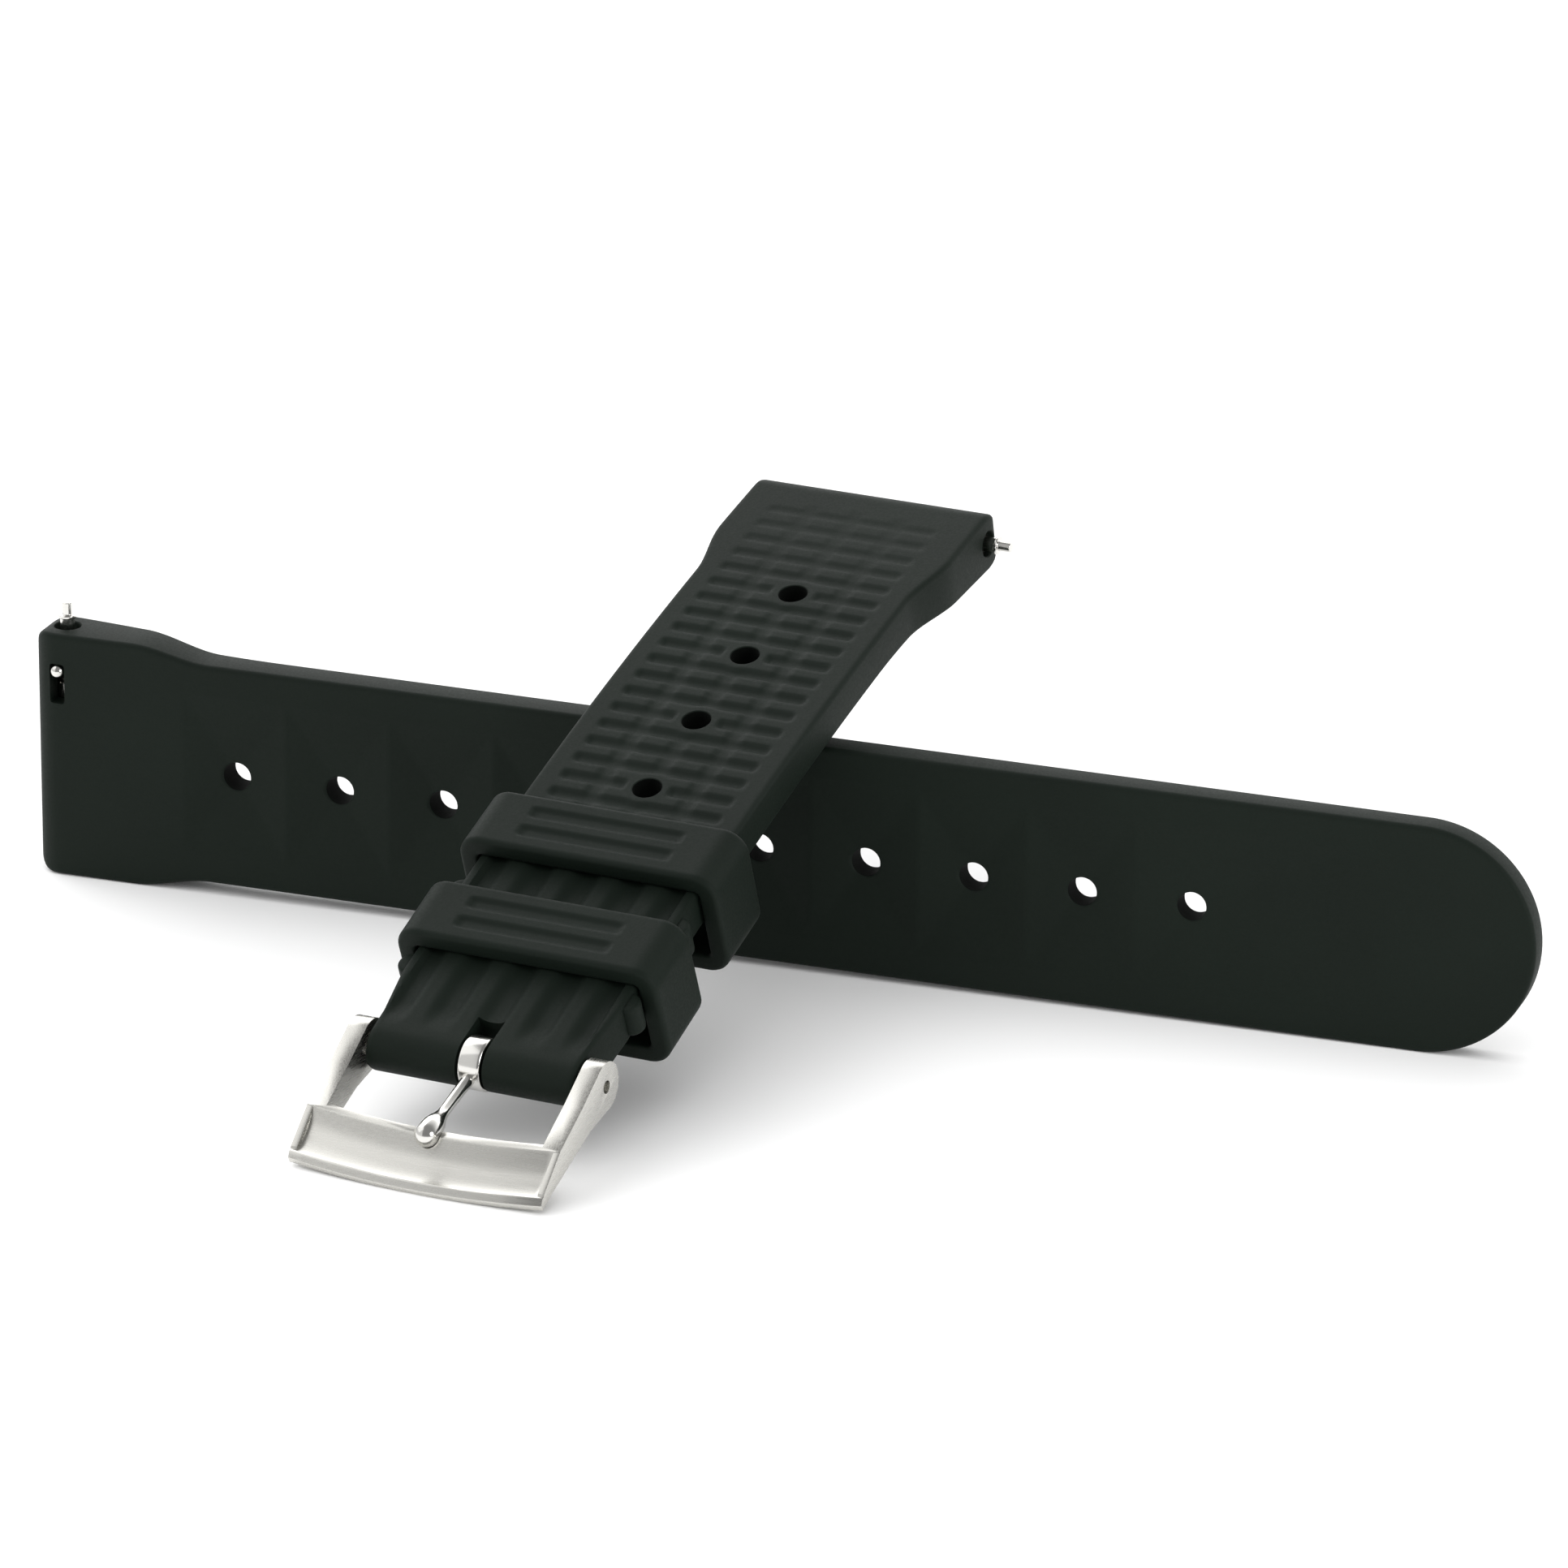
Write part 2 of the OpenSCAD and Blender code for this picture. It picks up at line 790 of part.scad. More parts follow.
module prong() {
    drop_len = 1.3;
    prong_axis() {
        translate([0, 0, 1.3])
            cylinder(r = prong_r, h = prong_end - 1.3);
        translate([0, 0, prong_end - drop_len])
            cylinder(r = bulb_r, h = drop_len);
        for (z = [prong_end - drop_len, prong_end])
            translate([0, 0, z])
                sphere(r = bulb_r);
    }
}

pin_half = end_w / 2 - 0.15;
pin_out = arm_out - 0.35;

module pin_axis() {
    buckle_bar_pose()
        rotate([0, 90, 0])
            children();
}

module buckle_bar_tube() {
    color(steel)
        pin_axis()
            difference() {
                cylinder(r = bar_r, h = 2 * pin_half, center = true);
                cylinder(r = tube_bore, h = 2 * (pin_half - lip_t), center = true);
                cylinder(r = pin_r + shaft_play, h = 2 * pin_half + 1, center = true);
            }
}

module pin_tip() {
    piston(pin_half - lip_t - 1.6, pin_half, pin_r, pin_out);
}

module buckle_bar_left_tip() {
    color(steel)
        pin_axis()
            rotate([180, 0, 0])
                pin_tip();
}

module buckle_bar_right_tip() {
    color(steel)
        pin_axis()
            pin_tip();
}

module buckle_bar_spring() {
    reach = pin_half - lip_t - 1.7 - wire_r;
    color(steel)
        pin_axis()
            coil(-reach, reach, 8);
}

tail_strap();
tail_bar_tube();
tail_bar_fixed_tip();
tail_bar_plunger();
tail_bar_lever();
tail_bar_spring();
buckle_strap();
fixed_keeper();
free_keeper();
head_bar_tube();
head_bar_fixed_tip();
head_bar_plunger();
head_bar_lever();
head_bar_spring();
buckle_frame();
buckle_tongue();
buckle_bar_tube();
buckle_bar_left_tip();
buckle_bar_right_tip();
buckle_bar_spring();
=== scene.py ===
# Rubber watch strap with quick-release spring bars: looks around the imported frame, in metres
import math
import bpy
import bmesh
from mathutils import Matrix, Vector


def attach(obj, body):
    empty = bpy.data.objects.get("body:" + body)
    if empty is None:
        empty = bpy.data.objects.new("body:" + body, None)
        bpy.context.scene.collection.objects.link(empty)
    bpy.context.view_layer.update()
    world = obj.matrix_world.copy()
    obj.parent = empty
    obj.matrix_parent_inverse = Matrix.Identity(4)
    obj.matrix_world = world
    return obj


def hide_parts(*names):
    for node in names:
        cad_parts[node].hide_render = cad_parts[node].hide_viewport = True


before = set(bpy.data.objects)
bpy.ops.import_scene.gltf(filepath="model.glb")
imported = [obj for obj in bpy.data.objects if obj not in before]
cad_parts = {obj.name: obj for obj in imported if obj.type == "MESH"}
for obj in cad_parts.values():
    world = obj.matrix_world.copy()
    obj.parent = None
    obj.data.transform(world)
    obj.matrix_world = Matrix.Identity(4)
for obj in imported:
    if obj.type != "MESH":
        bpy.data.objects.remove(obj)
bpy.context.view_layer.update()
mm = 0.001

# what the photograph was taken with, worked out from the strap's own proportions
view = {
    "place": (268.55, -591.15, 248.68),
    "tiltDegrees": 69.50,
    "turnDegrees": 19.485,
    "lens": 202.15,
    "sensor": 36.0,
}

studio = {
    "floorTone": 0.95,
    "floorLift": 0.03,             # glow that only the eye and reflections see
    "floorReach": 3.0,
    "skyLow": 0.12,                # soft light from the horizon
    "skyHigh": 1.7,                # and how much more comes from the middle of the sky
    "skyTurn": (-0.40, -0.12, 0.88),
    "skySpread": 0.9,
    "dimRight": 0.75,              # share of that light that comes from the right
    "dimBetween": (-0.42, -0.1),
    "shineLeft": 0.75,             # what metal reflects: a bright room on the left,
    "shineRight": 0.25,            # a dim one on the right
    "shineBetween": (-0.42, -0.3),
    "shineBack": 1.9,              # and the white background behind
    "backBetween": (0.3, 0.7),
    "aim": (45, 0, 0),
}

lamps = {
    "keyLight": {"place": (-420, -110, 470), "size": (560, 560), "power": 0.5},
    "topLight": {"place": (-290, 270, 430), "size": (400, 400), "power": 0.6},
    "sideLight": {"place": (680, -230, 240), "size": (360, 300), "power": 1.9},
}


def addObject(name, data):
    piece = bpy.data.objects.new(name, data)
    bpy.context.scene.collection.objects.link(piece)
    return piece


def makeCamera():
    data = bpy.data.cameras.new("photoCamera")
    data.lens = view["lens"]
    data.sensor_width = view["sensor"]
    data.clip_end = 5
    camera = addObject("photoCamera", data)
    camera.location = Vector(view["place"]) * mm
    camera.rotation_euler = (math.radians(view["tiltDegrees"]), 0, math.radians(view["turnDegrees"]))
    bpy.context.scene.camera = camera


# node trees: helpers that add a node, set its values and link its inputs
def addNode(tree, kind, settings=None, inputs=None):
    node = tree.nodes.new(kind)
    for name, value in (settings or {}).items():
        setattr(node, name, value)
    for key, value in (inputs or {}).items():
        if isinstance(value, bpy.types.NodeSocket):
            tree.links.new(value, node.inputs[key])
        else:
            node.inputs[key].default_value = value
    return node


def calc(tree, operation, *values):
    return addNode(tree, "ShaderNodeMath", {"operation": operation}, dict(enumerate(values))).outputs[0]


def arithmetic(tree):
    # short names for the sums that a tree does over and over
    def plus(a, b):
        return calc(tree, "ADD", a, b)

    def minus(a, b):
        return calc(tree, "SUBTRACT", a, b)

    def times(first, *others):
        for other in others:
            first = calc(tree, "MULTIPLY", first, other)
        return first

    return plus, minus, times


def ramp(tree, value, low, high, start=0.0, end=1.0, kind="SMOOTHSTEP"):
    # gives start where the value is at low, and end where it is at high
    node = addNode(tree, "ShaderNodeMapRange", {"interpolation_type": kind}, {
        "Value": value, "From Min": low, "From Max": high, "To Min": start, "To Max": end})
    return node.outputs[0]


def mixNumbers(tree, share, first, second):
    node = addNode(tree, "ShaderNodeMix", {"data_type": "FLOAT"}, {0: share, 2: first, 3: second})
    return node.outputs[0]


def makeWorld():
    world = bpy.data.worlds.new("studio")
    world.use_nodes = True
    bpy.context.scene.world = world
    tree = world.node_tree
    tree.nodes.clear()
    way = addNode(tree, "ShaderNodeTexCoord").outputs["Generated"]
    parts = addNode(tree, "ShaderNodeSeparateXYZ", inputs={0: way}).outputs
    room = ramp(tree, parts["X"], *studio["shineBetween"], studio["shineLeft"], studio["shineRight"])
    back = ramp(tree, parts["Y"], *studio["backBetween"])
    shine = mixNumbers(tree, back, room, studio["shineBack"])
    towards = addNode(tree, "ShaderNodeVectorMath", {"operation": "DOT_PRODUCT"},
                      {0: way, 1: studio["skyTurn"]}).outputs["Value"]
    sky = ramp(tree, towards, 0.0, studio["skySpread"], studio["skyLow"],
               studio["skyLow"] + studio["skyHigh"])
    dim = ramp(tree, parts["X"], *studio["dimBetween"], 1.0, studio["dimRight"])
    path = addNode(tree, "ShaderNodeLightPath").outputs
    lit = mixNumbers(tree, path["Is Glossy Ray"], calc(tree, "MULTIPLY", sky, dim), shine)
    plain = calc(tree, "MAXIMUM", path["Is Camera Ray"], path["Is Transmission Ray"])
    light = addNode(tree, "ShaderNodeBackground", inputs={
        "Color": (1, 1, 1, 1), "Strength": mixNumbers(tree, plain, lit, 1.0)})
    addNode(tree, "ShaderNodeOutputWorld", inputs={0: light.outputs[0]})


def makeFloor():
    material = bpy.data.materials.new("studioFloor")
    material.use_nodes = True
    tree = material.node_tree
    tree.nodes.clear()
    tone = studio["floorTone"]
    matt = addNode(tree, "ShaderNodeBsdfDiffuse", inputs={"Color": (tone, tone, tone, 1)})
    path = addNode(tree, "ShaderNodeLightPath").outputs
    seen = calc(tree, "MAXIMUM", path["Is Camera Ray"], path["Is Glossy Ray"])
    seen = calc(tree, "MAXIMUM", seen, path["Is Transmission Ray"])
    glow = addNode(tree, "ShaderNodeEmission", inputs={
        "Color": (1, 1, 1, 1), "Strength": calc(tree, "MULTIPLY", seen, studio["floorLift"])})
    both = addNode(tree, "ShaderNodeAddShader", inputs={0: matt.outputs[0], 1: glow.outputs[0]})
    addNode(tree, "ShaderNodeOutputMaterial", inputs={0: both.outputs[0]})
    reach = studio["floorReach"]
    mesh = bpy.data.meshes.new("studioFloor")
    mesh.from_pydata([(-reach, -reach, 0), (reach, -reach, 0), (reach, reach, 0), (-reach, reach, 0)],
                     [], [(0, 1, 2, 3)])
    mesh.materials.append(material)
    addObject("studioFloor", mesh)


def makeLamps():
    for name, lamp in lamps.items():
        data = bpy.data.lights.new(name, "AREA")
        data.shape = "RECTANGLE"
        data.size, data.size_y = (side * mm for side in lamp["size"])
        data.energy = lamp["power"]
        light = addObject(name, data)
        light.location = Vector(lamp["place"]) * mm
        aim = Vector(studio["aim"]) * mm - light.location
        light.rotation_euler = aim.to_track_quat("-Z", "Y").to_euler()


rubberFinish = {
    "colour": (0.0062, 0.0106, 0.0074),
    "roughness": 0.60,
    "shine": 0.13,
    "grainSize": 5200,
    "grainDepth": 0.012,
    "grainStrength": 0.35,
    "patchSize": 90,
    "paintedHoleShade": 0.8,              # painted shade: how much darker the walls of the holes are coloured
    "holeRoughness": 0.4,          # and how much rougher
}

steelFinish = {
    "brushed": {"colour": (0.62, 0.61, 0.575), "roughness": 0.28, "streaks": 1.0},
    "polished": {"colour": (0.74, 0.73, 0.70), "roughness": 0.16, "streaks": 0.3},
    "streakLength": 90,
    "streakWidth": 9000,
    "streakDepth": 0.004,
    "streakStrength": 0.07,
    "turnDegrees": 6.5,            # the buckle lies turned by this much
}


def newMaterial(name):
    material = bpy.data.materials.new(name)
    material.use_nodes = True
    tree = material.node_tree
    tree.nodes.clear()
    shader = addNode(tree, "ShaderNodeBsdfPrincipled")
    addNode(tree, "ShaderNodeOutputMaterial", inputs={0: shader.outputs[0]})
    place = addNode(tree, "ShaderNodeTexCoord").outputs["Object"]
    return material, tree, shader, place


def noise(tree, place, scale, detail, roughness=0.5):
    return addNode(tree, "ShaderNodeTexNoise", inputs={
        "Vector": place, "Scale": scale, "Detail": detail, "Roughness": roughness}).outputs[0]


def spread(tree, pattern, start, end):
    # the middle of a noise, stretched evenly from start to end
    return ramp(tree, pattern, 0.3, 0.7, start, end, "LINEAR")


def marked(tree, label):
    return addNode(tree, "ShaderNodeAttribute", {"attribute_name": label}).outputs["Fac"]


def dressShader(tree, shader, colour, tone, gloss, pattern, strength, depth):
    tint = addNode(tree, "ShaderNodeVectorMath", {"operation": "SCALE"}, {0: colour, "Scale": tone})
    bump = addNode(tree, "ShaderNodeBump", inputs={
        "Height": pattern, "Strength": strength, "Distance": depth * mm})
    tree.links.new(tint.outputs[0], shader.inputs["Base Color"])
    tree.links.new(gloss, shader.inputs["Roughness"])
    tree.links.new(bump.outputs[0], shader.inputs["Normal"])


def makeRubber():
    r = rubberFinish
    material, tree, shader, place = newMaterial("rubber")
    plus, minus, times = arithmetic(tree)
    grain = noise(tree, place, r["grainSize"], 3.0, 0.6)
    patch = spread(tree, noise(tree, place, r["patchSize"], 2.0), 0.92, 1.08)
    wall = marked(tree, "holeWall")
    # the walls of the holes are coloured darker here as painted shade
    tone = times(patch, minus(1.0, times(wall, r["paintedHoleShade"])))
    gloss = plus(spread(tree, grain, r["roughness"] - 0.05, r["roughness"] + 0.06),
                 times(wall, r["holeRoughness"]))
    dressShader(tree, shader, r["colour"], tone, gloss, grain, r["grainStrength"], r["grainDepth"])
    shader.inputs["Specular IOR Level"].default_value = r["shine"]
    return material


def makeSteel(name):
    s, finish = steelFinish, steelFinish[name]
    material, tree, shader, place = newMaterial(name + "Steel")
    shader.inputs["Metallic"].default_value = 1.0
    ways = []
    for scale in ((s["streakLength"], s["streakWidth"], s["streakWidth"]),
                  (s["streakWidth"], s["streakLength"], s["streakWidth"])):
        ways.append(addNode(tree, "ShaderNodeMapping", inputs={
            "Vector": place, "Rotation": (0, 0, math.radians(s["turnDegrees"])), "Scale": scale}).outputs[0])
    # streaks run across the buckle, but lengthways on its arms
    grain = addNode(tree, "ShaderNodeMix", {"data_type": "VECTOR"},
                    {0: marked(tree, "arm"), 4: ways[0], 5: ways[1]}).outputs[1]
    brush = noise(tree, grain, 1.0, 2.0, 0.55)
    rough, streaks = finish["roughness"], finish["streaks"]
    gloss = spread(tree, brush, rough - 0.05 * streaks, rough + 0.06 * streaks)
    tone = spread(tree, brush, 1 - 0.04 * streaks, 1 + 0.03 * streaks)
    dressShader(tree, shader, finish["colour"], tone, gloss, brush, s["streakStrength"] * streaks,
                s["streakDepth"])
    return material


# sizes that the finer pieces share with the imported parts, in millimetres
band = {
    "width": 18.0,
    "lugWidth": 20.0,
    "lugThick": 4.6,
    "lugLength": 8.5,
    "shoulder": 6.5,
    "thinAt": 20.5,
    "cornerRadius": 1.5,
    "edgeRadius": 0.38,
    "columns": 92,
    "edgeSteps": 4,
}

longHalf = {
    "length": 121.3,
    "rootThick": 2.9,
    "tipThick": 2.4,
    "holeStart": 17.2,
    "holeCount": 10,
    "firstRow": 2,                 # the first row of blocks, counted from the first hole
    "rowsTo": 109.0,
    "channelsTo": 111.0,
    "fluteHalfWidth": 7.3,
    "tilt": 0.551965,
    "axisHeight": 10.05973,
}

shortHalf = {
    "length": 71.4,
    "thick": 3.2,
    "holeStart": 16.2,
    "holeCount": 4,
    "firstRow": -5,
    "rowsTo": 46.0,
    "channelsTo": 71.0,
    "fluteHalfWidth": 8.35,
    "endRadius": 1.9,
    "endWidth": 17.0,
    "endWedge": 8.0,
    "neck": 6.0,
    "sagRadius": 400.0,
    "crossAt": 30.1,
    "crossX": 55.1,
    "baseHeight": 18.976554,
    "turn": -6.5,
    "pitch": 16.987789,
}

holes = {
    "pitch": 8.6,
    "radius": 1.12,
    "rimRadius": 0.12,
    "collar": 1.7,
}

relief = {
    "rowsPerHole": 4,
    "grooveDepth": 0.25,
    "channelPitch": 3.8,
    "blockHalfWidth": 7.3,
    "fadeIn": 24.0,                # where the grooves have reached their full depth
    "dimple": 0.65,
    "dimpleHalfWidth": 6.6,
    "dimpleAtRim": 0.82,           # share of that depth at the rim of a hole
}

lugRadius = band["lugThick"] / 2


def tailPlace():
    return (Matrix.Rotation(math.radians(longHalf["tilt"]), 4, "Y")
            @ Matrix.Translation((0, 0, longHalf["axisHeight"])))


def headPlace():
    return (Matrix.Translation((shortHalf["crossX"], -lugRadius, shortHalf["baseHeight"]))
            @ Matrix.Rotation(math.radians(shortHalf["turn"]), 4, "Z")
            @ Matrix.Rotation(math.radians(shortHalf["pitch"]), 4, "X"))


def onStrap(along, height):
    # the frame at a distance along the short half, which sags in an arc
    sag = shortHalf["sagRadius"]
    return (headPlace() @ Matrix.Translation((0, 0, -sag))
            @ Matrix.Rotation((along - shortHalf["crossAt"]) / sag, 4, "X")
            @ Matrix.Translation((0, 0, sag + height)))


def ease(value):
    value = min(max(value, 0.0), 1.0)
    return value * value * (3 - 2 * value)


def arcHeight(radius, away):
    return math.sqrt(max(radius ** 2 - away ** 2, 0.0))


def thinned(along):
    # share of the boss that is gone at this distance from the lug end
    part = min(max((along - lugRadius) / (band["thinAt"] - lugRadius), 0.0), 1.0)
    return (ease(part) + 1 - (1 - part) ** 2) / 2


def halfWidth(along):
    corner = band["cornerRadius"]
    wide, body = band["lugWidth"] / 2, band["width"] / 2
    if along < corner:
        return wide - corner + arcHeight(corner, corner - along)
    return wide - (wide - body) * ease((along - band["lugLength"]) / band["shoulder"])


def longSection(along):
    # half width and the heights of both faces, above the flat inner face
    thick, root, tip = band["lugThick"], longHalf["rootThick"], longHalf["tipThick"]
    if along < lugRadius:
        rise = arcHeight(lugRadius, lugRadius - along)
        return halfWidth(along), lugRadius - rise, lugRadius + rise
    top = thick - (thick - root) * thinned(along)
    if along > band["thinAt"]:
        top = root - (root - tip) * (along - band["thinAt"]) / (longHalf["length"] - band["thinAt"])
    return halfWidth(along), 0.0, top


def shortSection(along):
    thick, lug, end = shortHalf["thick"], band["lugThick"], shortHalf["endRadius"]
    length, neck, wedge = shortHalf["length"], shortHalf["neck"], shortHalf["endWedge"]
    half = halfWidth(along)
    if along > length - neck:
        part = min((along - length + neck) / (neck - end), 1.0)
        half += (shortHalf["endWidth"] / 2 - half) * part
    if along < lugRadius:
        rise = arcHeight(lugRadius, lugRadius - along)
        return half, thick - lugRadius - rise, thick - lugRadius + rise
    if along > length:
        rise = arcHeight(end, along - length)
        return half, thick - end - rise, thick - end + rise
    low = -(lug - thick) * (1 - thinned(along))
    if along > length - wedge:
        low = -(2 * end - thick) * ease((along - length + wedge) / wedge)
    return half, low, thick


def spaced(start, stop, step):
    count = max(1, round((stop - start) / step))
    return [start + (stop - start) * index / count for index in range(count + 1)]


def noseStations():
    return [lugRadius * (1 - math.cos(math.pi / 2 * index / 12)) for index in range(12)]


def longStations():
    # (distance, plan normal along, plan normal across, half width); the tip is a half circle
    radius = band["width"] / 2
    centre = longHalf["length"] - radius
    step = holes["pitch"] / 30
    first = longHalf["holeStart"] - step * int((longHalf["holeStart"] - lugRadius) / step)
    body = []
    while first + len(body) * step < centre - step * 0.4:
        body.append(first + len(body) * step)
    rows = [(along, 0.0, 1.0, halfWidth(along)) for along in noseStations() + body]
    for turn in spaced(0, math.pi / 2, math.pi / 108):
        rows.append((centre + radius * math.sin(turn), math.sin(turn), math.cos(turn),
                     radius * math.cos(turn)))
    return rows


def shortStations():
    # rings stand closer together where the rows of blocks are
    length, end, plainFrom = shortHalf["length"], shortHalf["endRadius"], shortHalf["rowsTo"] + 1.0
    body = spaced(lugRadius, plainFrom, holes["pitch"] / 40) + spaced(plainFrom, length, 0.4)[1:]
    back = [length + end * math.sin(math.pi / 2 * index / 10) for index in range(1, 11)]
    return [(along, 0.0, 1.0, None) for along in noseStations() + body + back]


def bandRing(station, section):
    # one ring of (across, along, height, face); face is 1 outside, -1 inside and 0 on the edges
    along, normalAlong, normalAcross, given = station
    half, low, high = section(along)
    half = half if given is None else given
    soft = min(band["edgeRadius"], 0.45 * (high - low))
    count, steps = band["columns"], band["edgeSteps"]

    def edge(sign, face, order):
        row = []
        for index in order:
            turn = math.pi / 2 * index / steps
            inset, drop = soft * (1 - math.sin(turn)), soft * (1 - math.cos(turn))
            height = high - drop if face == 1 else low + drop
            row.append((sign * (half - inset * normalAcross), along - inset * normalAlong, height, 0))
        return row

    def flat(sign, face):
        inner, place = half - soft * normalAcross, along - soft * normalAlong
        height = high if face == 1 else low
        return [(sign * inner * (2 * index / count - 1), place, height, face)
                for index in range(count + 1)]

    outward, inward = range(1, steps + 1), range(steps, 0, -1)
    return (flat(1, 1) + edge(1, 1, outward) + edge(1, -1, inward)
            + flat(-1, -1) + edge(-1, -1, outward) + edge(-1, 1, inward))


def gridFaces(rows, around, closed=False):
    # quads between rings of points; a closed grid joins its last ring to the first
    faces = []
    for row in range(rows if closed else rows - 1):
        a, b = row * around, (row + 1) % rows * around
        for index in range(around):
            after = (index + 1) % around
            faces.append((a + index, b + index, b + after, a + after))
    return faces


def mendMesh(mesh, distance):
    tidy = bmesh.new()
    tidy.from_mesh(mesh)
    bmesh.ops.remove_doubles(tidy, verts=tidy.verts, dist=distance)
    bmesh.ops.recalc_face_normals(tidy, faces=tidy.faces)
    tidy.to_mesh(mesh)
    tidy.free()


def addPiece(name, points, faces, distance=0.0005):
    mesh = bpy.data.meshes.new(name)
    mesh.from_pydata(points, [], faces)
    mendMesh(mesh, distance)
    return addObject(name, mesh)


def buildBand(name, stations, section):
    ring = [spot for station in stations for spot in bandRing(station, section)]
    mesh = bpy.data.meshes.new(name)
    mesh.from_pydata([spot[:3] for spot in ring], [],
                     gridFaces(len(stations), len(ring) // len(stations)))
    for index, label in ((0, "across"), (1, "along"), (3, "side")):
        values = [spot[index] for spot in ring]
        mesh.attributes.new(label, "FLOAT", "POINT").data.foreach_set("value", values)
    mendMesh(mesh, 0.0005)
    return addObject(name, mesh)


# geometry node groups: named number inputs, one geometry and one material input
def newGroup(name, numbers):
    tree = bpy.data.node_groups.new(name, "GeometryNodeTree")
    sockets = tree.interface.new_socket
    sockets("Geometry", in_out="INPUT", socket_type="NodeSocketGeometry")
    keys = {label: sockets(label, in_out="INPUT", socket_type="NodeSocketFloat").identifier
            for label in numbers}
    keys["Material"] = sockets("Material", in_out="INPUT", socket_type="NodeSocketMaterial").identifier
    sockets("Geometry", in_out="OUTPUT", socket_type="NodeSocketGeometry")
    return tree, addNode(tree, "NodeGroupInput").outputs, keys


def closeGroup(tree, given, geometry):
    real = addNode(tree, "GeometryNodeRealizeInstances", inputs={0: geometry})
    coat = addNode(tree, "GeometryNodeSetMaterial",
                   inputs={0: real.outputs[0], "Material": given["Material"]})
    addNode(tree, "NodeGroupOutput", inputs={0: coat.outputs[0]})


def runGroup(piece, group, numbers, material):
    tree, keys = group
    modifier = piece.modifiers.new(tree.name, "NODES")
    modifier.node_group = tree
    for label, value in numbers.items():
        modifier[keys[label]] = float(value)
    modifier[keys["Material"]] = material
    applyModifiers(piece)


def applyModifiers(piece):
    evaluated = piece.evaluated_get(bpy.context.evaluated_depsgraph_get())
    mesh = bpy.data.meshes.new_from_object(evaluated)
    mesh.name = piece.name
    piece.modifiers.clear()
    old = piece.data
    piece.data = mesh
    bpy.data.meshes.remove(old)


